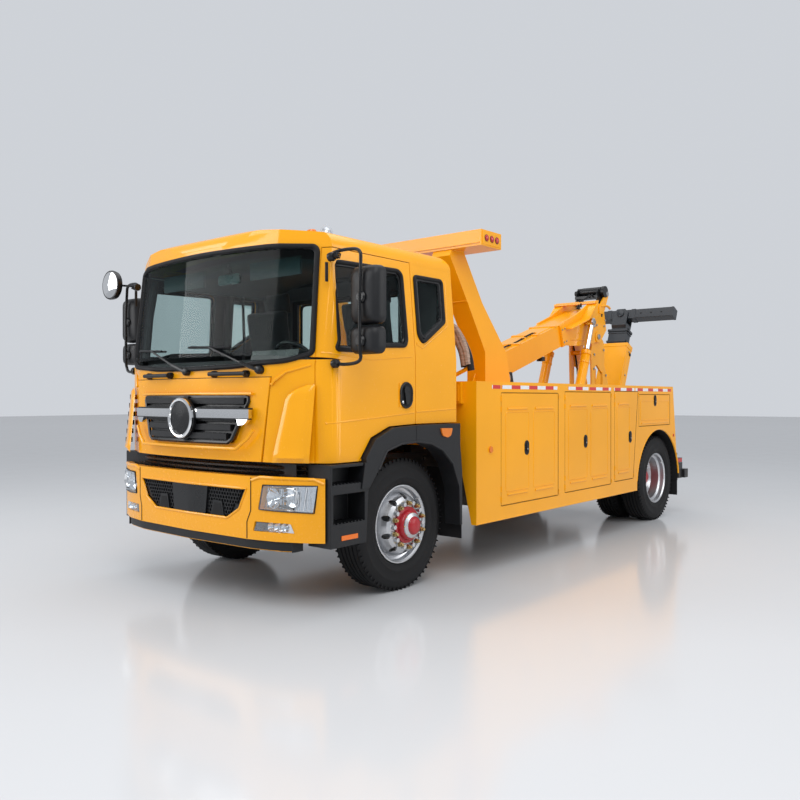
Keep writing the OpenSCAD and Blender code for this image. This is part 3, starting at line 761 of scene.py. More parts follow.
def tyre_profile(depth):
    """Half the tyre in section as (radius, offset), bead to crown, grooves included."""
    h = 0.1375
    side = [(0.287, 0.102), (0.300, 0.1085), (0.312, 0.124), (0.330, 0.1345), (0.352, 0.1370),
            (0.356, 0.1390), (0.362, 0.1370), (0.392, h), (0.425, 0.1350), (0.430, 0.1365),
            (0.436, 0.1345), (0.456, 0.1290), (0.476, 0.1210), (0.490, 0.1130), (0.4965, 0.1080)]
    crown = []
    r = TYRE_R - 0.0005
    for a, b in ((0.098, 0.104), (0.0525, 0.0645), (0.012, 0.024)):
        crown += [(r - 0.001, b), (r - depth, b - 0.003), (r - depth, a + 0.003), (r - 0.001, a)]
    return side + [(0.502, 0.1065)] + crown


def draw_tyre(shape, centre, depth):
    half = tyre_profile(depth)
    whole = [(r, h) for r, h in half] + [(r, -h) for r, h in reversed(half)]
    inner = [(0.287, -0.094), (0.345, -0.106), (0.470, -0.088), (0.470, 0.088), (0.345, 0.106),
             (0.287, 0.094)]
    shape.turned(whole + inner, centre, (1, 0, 0), "tyre", 120, closed=True)
    # cuts across the shoulders, half a step apart from side to side
    cuts = 64
    for k in range(cuts):
        for s in sides():
            a = 2 * math.pi * (k + (0.5 if s < 0 else 0)) / cuts
            turn = Matrix.Translation(Vector(centre)) @ Matrix.Rotation(a, 4, "X")
            pts = [turn @ Vector((s * x, y, z)) for x in (0.104, 0.124)
                   for y in (-0.0045, 0.0045) for z in (0.482, 0.5035)]
            shape.add(pts, [[0, 1, 3, 2], [4, 6, 7, 5], [0, 4, 5, 1], [2, 3, 7, 6], [1, 5, 7, 3],
                            [0, 2, 6, 4]], "seal")


def wheel_trim(shape, centre, s, front):
    """Nuts with washers, hub, rim edge and valve on one wheel. s is the outward side."""
    cx, cy, cz = centre
    if front:
        shape.turned([(0.0, 0.266), (0.048, 0.264), (0.064, 0.256), (0.070, 0.244), (0.072, 0.226),
                      (0.102, 0.222), (0.112, 0.212), (0.116, 0.186), (0.138, 0.182),
                      (0.140, 0.171)],
                     centre, (s, 0, 0), "red", 40)
        for k in range(8):
            a = 2 * math.pi * k / 8
            p = Vector((cx + s * 0.221, cy + 0.090 * math.cos(a), cz + 0.090 * math.sin(a)))
            shape.turned([(0.009, 0), (0.009, 0.008), (0.006, 0.011)], p, (s, 0, 0), "brass", 6)
        base, reach = 0.168, 0.052
    else:
        shape.turned([(0.0, 0.178), (0.05, 0.176), (0.062, 0.166), (0.097, 0.150), (0.122, 0.062),
                      (0.150, 0.058)], centre, (s, 0, 0), "red", 40)
        base, reach = 0.008, 0.052
    for k in range(10):
        a = 2 * math.pi * (k + 0.5) / 10
        p = Vector((cx + s * base, cy + 0.1675 * math.cos(a), cz + 0.1675 * math.sin(a)))
        shape.turned([(0.024, 0), (0.024, 0.006), (0.019, 0.010)], p, (s, 0, 0), "steel", 16)
        shape.turned([(0.0195, 0.006), (0.0195, 0.030), (0.0165, 0.036), (0.013, 0.037),
            (0.013, 0.048), (0.010, reach)],
                     p, (s, 0, 0), "brass", 6)
    shape.turned([(0.2985, 0.1085), (0.3005, 0.113), (0.2985, 0.119), (0.293, 0.1195),
        (0.290, 0.113)],
                 (cx + (0 if front else s * TWIN_GAP / 2), cy, cz), (s, 0, 0), "alloy", 72,
                 closed=True)
    x = cx + (s * 0.10 if front else s * (TWIN_GAP / 2 + 0.10))
    shape.rod((x, cy + 0.20, cz + 0.17), (x + s * 0.018, cy + 0.214, cz + 0.182), 0.006,
              "steel", 8)


class TOWTRUCK_OT_wheels(bpy.types.Operator):
    """Tyres with real tread and the wheels' nuts, hubs and valves"""

    bl_idname = "towtruck.wheels"
    bl_label = "Tyres and wheel trim"

    def execute(self, context):
        depth = sizes().tread_depth
        for side, s in NAMED_SIDES:
            front = (s * FRONT_X, 0.0, TYRE_R)
            t = Shape()
            draw_tyre(t, front, depth)
            t.done(f"front_tread_{side}", f"front_wheel_{side}",
                   replaces=(f"front_tyre_{side}",), slot="tyre")
            w = Shape()
            wheel_trim(w, front, s, True)
            w.done(f"front_hub_{side}", f"front_wheel_{side}")
            t = Shape()
            for off in (-TWIN_GAP / 2, TWIN_GAP / 2):
                draw_tyre(t, (s * REAR_X + off, WHEELBASE, TYRE_R), depth)
            t.done(f"rear_tread_{side}", f"rear_wheels_{side}",
                   replaces=(f"rear_tyres_{side}",), slot="tyre")
            w = Shape()
            wheel_trim(w, (s * REAR_X, WHEELBASE, TYRE_R), s, False)
            w.done(f"rear_hub_{side}", f"rear_wheels_{side}")
        return {"FINISHED"}


class TOWTRUCK_OT_grille(bpy.types.Operator):
    """Upper grille with its dark slats, chrome bar and plain ring"""

    bl_idname = "towtruck.grille"
    bl_label = "Upper grille"

    def execute(self, context):
        g = Shape()
        # dark backing behind the slats, cut to the opening: a black sheet that paints the shade
        # seen between the slats
        rows = []
        for k in range(9):
            z = 1.160 + 0.320 * k / 8
            half = 0.470 + (0.150 * min(1.0, (z - 1.16) / 0.28))
            rows.append([on_skin(-half + 2 * half * i / 24, z, -0.031) for i in range(25)])
        g.sheet(rows, "smooth")
        for z in (1.200, 1.262, 1.324, 1.386, 1.448):
            half = 0.448 + (z - 1.18) * 0.55
            bowed(g, -half, half, z - 0.019, z + 0.021, 0.002, -0.028, "plastic", 20)
            bowed(g, -half, half, z + 0.021, z + 0.026, -0.006, -0.020, "smooth", 20)
        bowed(g, -0.026, 0.026, 1.156, 1.484, -0.005, -0.029, "plastic", 2)
        # chrome bar with turned-down ends
        for s in sides():
            a, b = span(s, 0.120, 0.672)
            bowed(g, a, b, 1.330, 1.392, 0.030, -0.004, "chrome", 16)
            bowed(g, a, b, 1.320, 1.332, 0.024, -0.010, "smooth", 16)
            bowed(g, a, b, 1.390, 1.402, 0.024, -0.010, "smooth", 16)
            plate_on(g, [(s * 0.560, 1.334), (s * 0.672, 1.334), (s * 0.640, 1.286),
                (s * 0.575, 1.282)],
                     skin_y, "chrome", 0.03, 0.024)
        # plain disc and ring in the middle
        c = on_skin(0.0, 1.325, 0.010)
        g.turned([(0.148, 0.0), (0.148, 0.022), (0.140, 0.032), (0.02, 0.038), (0.0, 0.038)],
                 c, (0, -1, 0), "smooth", 64)
        g.turned([(0.146, 0.026), (0.147, 0.040), (0.137, 0.048), (0.126, 0.046), (0.122, 0.034)],
                 c, (0, -1, 0), "chrome", 72, closed=True)
        # ledge above and the chin below the opening, with painted mouldings
        lip = dense([(-0.70, 1.250), (-0.655, 1.190), (-0.560, 1.118), (0.560, 1.118),
            (0.655, 1.190), (0.70, 1.250)],
                    0.05, False)
        g.tube([on_skin(x, z, -0.002) for x, z in lip], 0.012, "yellow", 8)
        top = dense([(-0.66, 1.500), (0.66, 1.500)], 0.05, False)
        g.tube([on_skin(x, z, -0.001) for x, z in top], 0.010, "yellow", 8)
        frame_line = dense([(-0.626, 1.478), (-0.600, 1.4825), (0.600, 1.4825), (0.626, 1.478),
            (0.630, 1.452),
                            (0.503, 1.178), (0.466, 1.153), (-0.466, 1.153), (-0.503, 1.178),
                            (-0.630, 1.452)], 0.04)
        g.tube([on_skin(x * 0.990, 1.32 + (z - 1.32) * 0.972, -0.018) for x, z in frame_line],
               0.014, "smooth", 6, closed=True)
        g.done("grille_trim", "front_panel", 0.002)
        return {"FINISHED"}


SCREEN = [(-1.062, 1.790), (-1.048, 1.768), (-0.900, 1.722), (-0.450, 1.690), (0, 1.682),
    (0.450, 1.690),
          (0.900, 1.722), (1.048, 1.768), (1.062, 1.790), (1.042, 2.480), (1.020, 2.510),
          (0.700, 2.528),
          (0, 2.534), (-0.700, 2.528), (-1.020, 2.510), (-1.042, 2.480)]


class TOWTRUCK_OT_cab_front(bpy.types.Operator):
    """Windscreen seal, wipers, grab handles, corner deflectors and mouldings"""

    bl_idname = "towtruck.cab_front"
    bl_label = "Cab front"

    def execute(self, context):
        c = Shape()
        line = [on_skin(x, z, 0.003) for x, z in dense(rounded(SCREEN, 0.06, 4), 0.03)]
        c.tube(line, sizes().seal_width, "seal", 8, closed=True)
        line = [on_skin(x * 0.985, (z - 2.1) * 0.975 + 2.1, -0.004) for x,
                z in dense(rounded(SCREEN, 0.06, 4), 0.03)]
        c.tube(line, 0.010, "smooth", 6, closed=True)
        # wipers: pivot, arm, blade
        for px, ex, bx0, bx1 in ((0.716, 0.241, -0.02, 0.44), (-0.026, -0.505, -0.78, -0.32)):
            p = on_skin(px, 1.664, 0.010)
            q = on_skin(ex, 1.834, 0.040)
            c.turned([(0.030, -0.02), (0.030, 0.012), (0.022, 0.026), (0.0, 0.030)], p, (0, -1, 0),
                "smooth", 20)
            mid = on_skin(px + (ex - px) * 0.30, 1.664 + 0.17 * 0.30, 0.045)
            c.tube([p + Vector((0, -0.018, 0)), mid], 0.014, "smooth", 8)
            c.tube([mid, q], 0.008, "smooth", 8)
            blade = [on_skin(bx0 + (bx1 - bx0) * t / 10, 1.842 - 0.018 * (t / 10) , 0.016)
                for t in range(11)]
            c.tube(blade, 0.008, "seal", 6)
            c.tube([b + Vector((0, -0.014, 0.004)) for b in blade[1:-1]], 0.007, "smooth", 6)
        # grab handles over the front panel
        for x0, x1 in ((0.290, 0.600), (-0.560, -0.240)):
            z = 1.640
            for x in (x0, x1):
                f = on_skin(x, z, 0.0)
                c.turned([(0.024, -0.01), (0.024, 0.022), (0.016, 0.036)], f, (0, -1, 0), "smooth",
                    16)
            bar = [on_skin(x0 - 0.02 + (x1 - x0 + 0.04) * t / 10, z, 0.040) for t in range(11)]
            c.tube(bar, 0.015, "plastic", 10)
        # corner deflectors
        for s in sides():
            rows = []
            n = 16
            for k in range(n + 1):
                z = 1.034 + (1.560 - 1.034) * k / n
                if z < 1.470:
                    xl = 0.858 + 0.055 * (z - 1.034) / 0.436
                else:
                    t = (z - 1.470) / 0.090
                    xl = 0.913 + 0.10 * t ** 2.2 + 0.030 * t
                xr = 1.094
                row = []
                for i in range(11):
                    u = i / 10
                    x = xl + (xr - xl) * u
                    edge = min(u * 7, (1 - u) * 7, (z - 1.034) / 0.022 if z > 1.034 else 0.0,
                               max(0.0, (1.560 - z) / 0.03), 1.0)
                    low = max(0.0, 1.0 - (z - 1.034) / 0.085)
                    row.append(on_skin(s * x, z, -0.002 + edge * (0.020 + 0.012 * low)))
                rows.append(row)
            c.sheet(rows, "yellow")
            # crease that runs from the panel up under the windscreen
            crease = [(0.812, 1.560), (0.829, 1.588), (0.900, 1.648), (1.057, 1.694)]
            c.tube([on_skin(s * x, z, -0.004) for x, z in dense(crease, 0.03, False)], 0.010,
                   "yellow", 8)
            # air gills at the cab's corner edge
            for k in range(6 if s < 0 else 0):
                z = 1.10 + k * 0.072
                a = on_skin(s * 1.108, z, 0.003)
                c.block((min(a.x, a.x + s * 0.016), max(a.x, a.x + s * 0.016)),
                        (a.y - 0.006, a.y + 0.05), (z, z + 0.040), "seal")
            # black slit beside the windscreen
            c.block(span(s, 1.139, 1.150), (-0.905, -0.885), (2.255, 2.385), "seal")
        c.done("cab_front_trim", "cab", 0.0)
        return {"FINISHED"}


def reflector(shape, centre, r, depth, direction=(0, -1, 0)):
    shape.turned([(0.004, 0.0), (r * 0.45, depth * 0.18), (r * 0.80, depth * 0.60), (r, depth),
        (r * 1.06, depth),
                  (r * 1.06, depth * 0.9), (r * 0.5, -0.004), (0.004, -0.006)], centre, direction,
                  "chrome", 28)
    shape.turned([(0.010, 0.0), (0.010, depth * 0.55), (0.0, depth * 0.6)], centre, direction,
        "lamp", 12)


class TOWTRUCK_OT_front_lamps(bpy.types.Operator):
    """Head lamps, fog lamps, bumper joints and the lower grille"""

    bl_idname = "towtruck.front_lamps"
    bl_label = "Lamps and lower grille"

    def execute(self, context):
        b = Shape()
        # black sheet behind the gap between the cab and the bumper: painted shade in the gap
        b.block((-0.96, 0.96), (-1.000, -0.992), (0.880, 1.018), "smooth")
        # dark tubes that follow the cab's front in the gap between the cab and the bumper: painted
        # shade in the gap
        for z in (0.955, 0.990):
            xs = [-0.98 + 1.96 * i / 16 for i in range(17)]
            b.tube([(x, plan_y(x) + 0.075, z) for x in xs], 0.014, "smooth", 6)
        for s in sides():
            head = [(s * x, z) for x, z in ((0.745, 0.712), (1.126, 0.703), (1.144, 0.882),
                (0.775, 0.878))]
            # silvered bowl plate, ribs and reflectors
            plate_on(b, dense(head, 0.03), lambda x, z: sunk(x, HEAD_LAMP_FLOOR), "chrome", 0.001)
            for x, z, r, deep in ((0.850, 0.790, 0.064, 0.040), (0.990, 0.795, 0.062, 0.012)):
                reflector(b, (s * x, sunk(x, HEAD_LAMP_FLOOR) - 0.001, z), r, deep)
            for k in range(17):
                x = 0.765 + 0.0215 * k
                lean = 0.016 * math.sin(k * 1.9)
                b.rod((s * x, sunk(x, HEAD_LAMP_FLOOR) - 0.003, 0.716),
                      (s * (x + 0.012 + lean), sunk(x + 0.012, HEAD_LAMP_FLOOR) - 0.004, 0.872),
                      0.0045, "chrome", 6)
            for z0, z1, part in ((0.742, 0.728, "smooth"), (0.858, 0.862, "chrome"),
                    (0.762, 0.822, "chrome")):
                b.rod((s * 0.775, sunk(0.775, HEAD_LAMP_FLOOR) - 0.006, z0),
                      (s * 1.01, sunk(1.01, HEAD_LAMP_FLOOR) - 0.006, z1), 0.006, part, 8)
            # clear cover
            plate_on(b, dense(head, 0.03), lambda x, z: bumper_y(x) - 0.009, "lamp", 0.004)
            rim = dense(head, 0.03)
            b.tube([(x, bumper_y(x) - 0.003, z) for x, z in rim], 0.005, "seal", 6, closed=True)
            # fog lamp
            fog = [(s * x, z) for x, z in ((0.694, 0.564), (1.004, 0.564), (0.998, 0.622),
                (0.710, 0.622))]
            plate_on(b, dense(fog, 0.03), lambda x, z: sunk(x, FOG_LAMP_FLOOR), "chrome", 0.002)
            plate_on(b, dense([(s * x, z) for x,
                z in ((0.690, 0.560), (0.760, 0.560), (0.768, 0.626), (0.702, 0.626))], 0.03),
                     lambda x, z: bumper_y(x) + 0.012, "smooth", 0.02)
            for x in (0.810, 0.872, 0.930):
                reflector(b, (s * x, sunk(x, FOG_LAMP_FLOOR) - 0.001, 0.593), 0.026,
                    min(0.022, sunk(x, FOG_LAMP_FLOOR) - bumper_y(x) - 0.003))
            plate_on(b, dense(fog, 0.03), lambda x, z: bumper_y(x) + 0.004, "lamp", 0.003)
            # vertical joints of the bumper's end pieces and its raised lower step
            b.tube([(s * 0.640, bumper_y(0.640) - 0.0005, z) for z in (0.505, 0.62)] +
                   [(s * 0.672, bumper_y(0.672) - 0.0005, z) for z in (0.70, 0.925)], 0.0035,
                   "seal", 6)
            ledge = dense([(0.675, 0.905), (0.745, 0.930), (1.12, 0.925), (1.178, 0.895)], 0.03,
                False)
            b.tube([(s * x, bumper_y(x) + 0.004, z) for x, z in ledge], 0.012, "yellow", 8)
        # chin joint and the mouldings round the lower grille
        inner = [(-0.434, 0.628), (0.434, 0.628), (0.560, 0.702), (0.634, 0.846), (-0.634, 0.846),
            (-0.560, 0.702)]
        b.tube([(x, bumper_y(x) + 0.002, z) for x, z in dense(inner, 0.04)], 0.009, "yellow", 8,
               closed=True)
        # dark plate right behind the honeycomb, closing its cells: painted shade seen through the
        # grille
        plate_on(b, dense(inner, 0.04), lambda x, z: sunk(x, GRILLE_FLOOR, 0.034), "smooth", 0.001)
        # honeycomb
        cell = sizes().honeycomb
        row_h = cell * 0.866
        z = 0.640
        row = 0
        while z < 0.842:
            half = 0.43 + 0.195 * (z - 0.628) / 0.218
            half = min(half, 0.615)
            x = -0.62 + (cell / 2 if row % 2 else 0)
            while x < 0.62:
                if abs(x) < half - 0.012 and abs(x) > 0.19:
                    y = sunk(x, GRILLE_FLOOR, 0.034) - 0.010
                    outer = [(x + cell * 0.56 * math.sin(math.radians(60 * k)),
                        z + cell * 0.56 * math.cos(math.radians(60 * k)))
                             for k in range(6)]
                    hole = [(x + cell * 0.42 * math.sin(math.radians(60 * k)),
                        z + cell * 0.42 * math.cos(math.radians(60 * k)))
                            for k in range(6)]
                    pts = [(p, y, q) for p, q in outer] + [(p, y, q) for p,
                        q in hole] + [(p, y + 0.010, q) for p, q in hole]
                    faces = []
                    for k in range(6):
                        m = (k + 1) % 6
                        faces += [[k, m, 6 + m, 6 + k], [6 + k, 6 + m, 12 + m, 12 + k]]
                    b.add(pts, faces, "plastic")
                x += cell
            z += row_h
            row += 1
        # smooth middle plate, and the covers over the towing eyes
        plate_on(b, dense([(-0.190, 0.634), (0.190, 0.634), (0.215, 0.842), (-0.215, 0.842)],
            0.05),
                 lambda x, z: bumper_y(x) + 0.006, "smooth", 0.02)
        for s in sides():
            box = [(s * x, z) for x, z in ((0.255, 0.636), (0.395, 0.636), (0.385, 0.740),
                (0.262, 0.745))]
            plate_on(b, dense(box, 0.04), lambda x, z: bumper_y(x) + 0.004, "smooth", 0.016)
            hole = [(s * x, z) for x, z in ((0.268, 0.640), (0.382, 0.640), (0.374, 0.722),
                (0.274, 0.726))]
            plate_on(b, dense(hole, 0.04), lambda x, z: bumper_y(x) + 0.003, "seal", 0.008)
        # bottom lip under the bumper in black
        low = [-0.98 + 1.96 * i / 24 for i in range(25)]
        rows = [[(x, bumper_y(x) + off, z) for x in low] for off, z in
                ((0.016, 0.500), (0.016, 0.440), (0.036, 0.428), (0.075, 0.428), (0.075, 0.50))]
        b.sheet(rows, "plastic")
        for s in sides():
            b.block(span(s, 0.9806, 0.984), (-1.060, -0.960), (0.430, 0.500), "plastic")
        b.done("bumper_trim", "chassis", 0.0)
        return {"FINISHED"}


def oval(cx, cy, w, h, n=20):
    r = w / 2
    out = []
    for k in range(n):
        a = 2 * math.pi * k / n
        out.append((cx + r * math.cos(a), cy + r * math.sin(a) + (h / 2 - r) * (1
            if math.sin(a) >= 0 else -1)))
    return out


DOOR = [(-0.938, 1.030), (-0.625, 1.030), (-0.600, 1.060), (-0.500, 1.190), (-0.300, 1.264),
        (0.006, 1.276),
        (0.006, 2.496), (-0.862, 2.496), (-0.930, 1.790), (-0.938, 1.700)]
DOOR_WINDOW = [(-0.842, 1.800), (-0.815, 1.855), (-0.812, 2.380), (-0.796, 2.405), (-0.140, 2.420),
    (-0.100, 2.390),
               (-0.088, 1.900), (-0.110, 1.860), (-0.530, 1.838), (-0.640, 1.800)]
QUARTER = [(0.060, 1.950), (0.112, 1.895), (0.395, 2.070), (0.402, 2.085), (0.402, 2.385),
    (0.385, 2.402),
           (0.070, 2.400), (0.056, 2.384)]


def wall_point(s, y, z, out=0.0):
    """A point on the cab's side at (y, z); ahead of the corner it follows the rounded edge."""
    x = side_x(z)
    front = -0.808
    if z > 1.7:
        front = 0.006 + front / math.cos(LEAN) + math.tan(LEAN) * (z - 1.7)
    d = front - y
    if d > 0:
        x = x - 0.13 + math.sqrt(max(0.0, 0.13 ** 2 - min(d, 0.1299) ** 2))
    return Vector((s * (x + out), y, z))


class TOWTRUCK_OT_doors(bpy.types.Operator):
    """Window seals, door handles and inner linings of the cab doors"""

    bl_idname = "towtruck.doors"
    bl_label = "Cab doors"

    def execute(self, context):
        for side, s in NAMED_SIDES:
            d = Shape()
            line = dense(rounded(DOOR_WINDOW, 0.05, 4), 0.03)
            d.tube([wall_point(s, y, z, 0.002) for y, z in line], 0.016, "seal", 8, closed=True)
            d.tube([wall_point(s, y * 0.975 - 0.010, (z - 2.1) * 0.94 + 2.1, -0.016) for y,
                    z in line], 0.013, "smooth", 6,
                   closed=True)
            # recessed handle with its pull and lock
            cup = oval(-0.108, 1.491, 0.128, 0.176, 24)
            d.extrude([(s * 1.1965, y, z) for y, z in cup], (s * 0.003, 0, 0), "seal")
            rim = [(s * 1.198, y, z) for y, z in oval(-0.108, 1.491, 0.136, 0.184, 24)]
            d.tube(rim, 0.008, "smooth", 6, closed=True)
            pull = [(-0.150, 1.545), (-0.120, 1.560), (-0.085, 1.545), (-0.080, 1.470),
                    (-0.095, 1.425), (-0.125, 1.420), (-0.135, 1.470)]
            d.extrude([(s * 1.198, y, z) for y, z in rounded(pull, 0.02, 3)], (s * 0.016, 0, 0),
                "smooth")
            d.turned([(0.011, 0), (0.011, 0.004), (0.004, 0.005)], (s * 1.1995, -0.150, 1.440),
                (s, 0, 0), "chrome", 16)
            # swage line along the door
            for pts in (((-0.905, 1.300), (-0.30, 1.340), (0.0, 1.362)),
                    ((-0.915, 1.775), (-0.5, 1.742), (-0.04, 1.782))):
                d.tube([wall_point(s, y, z, -0.005) for y, z in dense(pts, 0.04, False)], 0.009,
                       "yellow", 8)
            # lining and armrest inside
            card = [(-0.80, 1.10), (-0.62, 1.10), (-0.48, 1.24), (-0.02, 1.32), (-0.02, 1.78),
                    (-0.80, 1.78)]
            d.extrude([(s * 1.132, y, z) for y, z in card], (s * -0.010, 0, 0), "trim")
            d.extrude([(s * 1.124, y, z) for y,
                z in ((-0.60, 1.50), (-0.12, 1.50), (-0.12, 1.56), (-0.60, 1.56))],
                      (s * -0.05, 0, 0), "lining")
            d.done(f"door_trim_{side}", f"door_{side}", 0.0)
        return {"FINISHED"}


class TOWTRUCK_OT_mirrors(bpy.types.Operator):
    """Rounded mirror heads, their glasses and bent arms"""

    bl_idname = "towtruck.mirrors"
    bl_label = "Mirrors"

    def execute(self, context):
        for side, s in NAMED_SIDES:
            m = Shape()
            for z0, z1, xc, w, front in ((1.965, 2.350, 1.394, 0.250, -0.806),
                    (1.765, 1.950, 1.390, 0.250, -0.806)):
                # shell: rounded rectangle that swells to the front
                zc, h = (z0 + z1) / 2, z1 - z0
                rings = []
                for scale, y in ((0.35, front - 0.012), (0.72, front - 0.008),
                        (0.90, front + 0.004), (1.0, front + 0.030),
                                 (1.02, front + 0.075), (1.0, front + 0.092),
                                 (0.94, front + 0.094)):
                    corners = [(-w / 2, -h / 2), (w / 2, -h / 2), (w / 2, h / 2), (-w / 2, h / 2)]
                    ring = rounded([(a * scale, b * scale) for a, b in corners], 0.055 * scale, 5)
                    rings.append([(s * (xc + a), y, zc + b) for a, b in ring])
                m.loft(rings, "plastic", caps=(True, False))
                ring = rounded([(a * 0.93, b * 0.93) for a, b in corners], 0.05, 5)
                m.extrude([(s * (xc + a), front + 0.088, zc + b) for a, b in ring], (0, 0.004, 0),
                    "mirror")
                # saddle over the upright bar
                m.turned([(0.034, 0.0), (0.040, 0.018), (0.030, 0.030)],
                    (s * (xc - 0.002), front - 0.004, zc - h * 0.05), (0, -1, 0),
                         "smooth", 24)
            # upright and arms in front of the heads
            x = s * 1.394
            arm = [(s * 1.150, -0.868, 2.425), (s * 1.20, -0.860, 2.455),
                   (s * 1.33, -0.835, 2.462), (s * 1.385, -0.828, 2.44),
                   (x, -0.828, 2.38), (x, -0.838, 2.20), (x, -0.838, 2.0), (x, -0.838, 1.80),
                   (x, -0.828, 1.735), (s * 1.36, -0.835, 1.705),
                   (s * 1.28, -0.850, 1.695), (s * 1.195, -0.872, 1.700)]
            m.hose(arm, 4, 0.012, "smooth", 10)
            for z in (2.42, 1.70):
                m.turned([(0.030, 0.0), (0.032, 0.03), (0.022, 0.045)],
                    (s * (1.150 if z > 2 else 1.186), -0.872, z), (s, 0, 0.1),
                         "smooth", 16)
            spring = [(s * (1.16 + 0.022 * k / 6), -0.868 + 0.020 * math.cos(k * 1.6),
                2.425 + 0.020 * math.sin(k * 1.6)) for k in range(22)]
            m.tube(spring, 0.005, "smooth", 6)
            if s < 0:
                c = (-1.400, -0.9755, 2.450)
                m.turned([(0.119, -0.036), (0.124, -0.02), (0.127, 0.0), (0.124, 0.012),
                    (0.114, 0.014)], c, (0, -1, 0), "smooth", 48)
                m.turned([(0.112, 0.0145), (0.080, 0.024), (0.040, 0.030), (0.0, 0.032)], c,
                    (0, -1, 0), "mirror", 48)
                m.hose([(-1.19, -0.872, 2.43), (-1.28, -0.92, 2.44), (-1.36, -0.945, 2.45)], 4,
                       0.009, "smooth", 8)
            m.done(f"mirror_trim_{side}", f"door_{side}", 0.0, replaces=(f"mirror_{side}",),
                   slot="black_plastic")
        return {"FINISHED"}


def smooth_path(points, steps=5):
    """A curve through the points."""
    pts = [Vector(p) for p in points]
    out = []
    for i in range(len(pts) - 1):
        p0, p1 = pts[max(i - 1, 0)], pts[i]
        p2, p3 = pts[i + 1], pts[min(i + 2, len(pts) - 1)]
        for k in range(steps):
            t = k / steps
            out.append(0.5 * ((2 * p1) + (p2 - p0) * t + (2 * p0 - 5 * p1 + 4 * p2 - p3) * t * t
                              + (3 * p1 - p0 - 3 * p2 + p3) * t ** 3))
    out.append(pts[-1])
    return out


class TOWTRUCK_OT_cab_sides(bpy.types.Operator):
    """Quarter window seals, roof lamps, beacon, flare details, steps and marker lamps"""

    bl_idname = "towtruck.cab_sides"
    bl_label = "Cab sides and roof"

    def execute(self, context):
        c = Shape()
        fl = Shape()
        for s in sides():
            line = dense(rounded(QUARTER, 0.03, 3), 0.03)
            c.tube([wall_point(s, y, z, 0.002) for y, z in line], 0.016, "seal", 8, closed=True)
            centre = (0.23, 2.19)
            c.tube([wall_point(s, centre[0] + (y - centre[0]) * 0.86,
                centre[1] + (z - centre[1]) * 0.90, -0.010)
                    for y, z in line], 0.016, "smooth", 6, closed=True)
            # raised edge under the window and the belt crease
            c.tube([wall_point(s, y, z, -0.005) for y, z in
                    dense([(0.03, 1.885), (0.100, 1.850), (0.440, 2.040), (0.455, 2.42)], 0.04,
                          False)], 0.010, "yellow", 8)
            c.tube([wall_point(s, y, z, -0.005) for y,
                    z in dense([(0.02, 1.365), (0.53, 1.385)], 0.05, False)], 0.009,
                   "yellow", 8)
            # drip rail along the roof
            c.tube([(s * (side_x(2.50) + 0.002), y, 2.515) for y in (-0.80, -0.4, 0.0, 0.4)],
                   0.009, "yellow", 8)
            # flare: joint, amber lamp, lip
            x = s * 1.2352
            fl.block(tuple(sorted((x, x + s * 0.001))), (-0.034, -0.030), (1.135, 1.266), "seal")
            lamp = [(0.262, 1.236), (0.412, 1.232), (0.392, 1.176), (0.350, 1.160), (0.285, 1.176)]
            fl.extrude([(x, y, z) for y, z in rounded(lamp, 0.012, 3)], (s * 0.012, 0, 0), "amber")
            fl.tube([(x - s * 0.004, y, z) for y,
                z in dense([(-0.46, 0.962), (-0.372, 1.092), (-0.210, 1.135), (-0.020, 1.143),
                    (0.150, 1.121), (0.300, 1.063), (0.430, 0.953)], 0.04, False)], 0.010,
                    "plastic", 8)
            # steps: ribbed treads and the orange reflector
            for z, low, high in ((0.603, 0.018, 0.026), (0.868, 0.016, 0.024)):
                for k in range(9):
                    y = -0.905 + k * 0.034
                    fl.block(span(s, 1.085, 1.222), (y, y + 0.014), (z + low, z + high), "smooth")
            fl.block(span(s, 1.2245, 1.230), (-0.836, -0.676), (0.508, 0.540), "orange")
            # clearance lamps on the roof's front edge
            for xx in (0.45, 0.86):
                p = (s * xx, -0.760, 2.662 if xx < 0.6 else 2.645)
                c.turned([(0.038, -0.012), (0.036, 0.006), (0.028, 0.018), (0.0, 0.024)], p,
                    (0, -0.15, 1), "amber" if xx > 0.6 else "lamp", 24)
        # beacon on the roof
        p = (0.749, -0.500, 2.650)
        c.turned([(0.072, -0.02), (0.070, 0.012), (0.058, 0.024)], p, (0, 0, 1), "smooth", 32)
        c.turned([(0.054, 0.022), (0.052, 0.050), (0.040, 0.082), (0.022, 0.104), (0.0, 0.112)], p,
            (0, 0, 1), "lamp", 32)
        c.turned([(0.042, 0.02), (0.040, 0.050), (0.028, 0.076), (0.0, 0.092)], p, (0, 0, 1),
            "alloy", 24)
        # seal of the window in the rear wall
        pts = dense(rounded([(-0.620, 1.900), (0.620, 1.900), (0.620, 2.350), (-0.620, 2.350)],
            0.06, 4), 0.05)
        c.tube([(x, 0.541, z) for x, z in pts], 0.014, "seal", 8, closed=True)
        c.done("cab_side_trim", "cab", 0.0)
        fl.done("step_and_flare_trim", "chassis", 0.0)
        return {"FINISHED"}


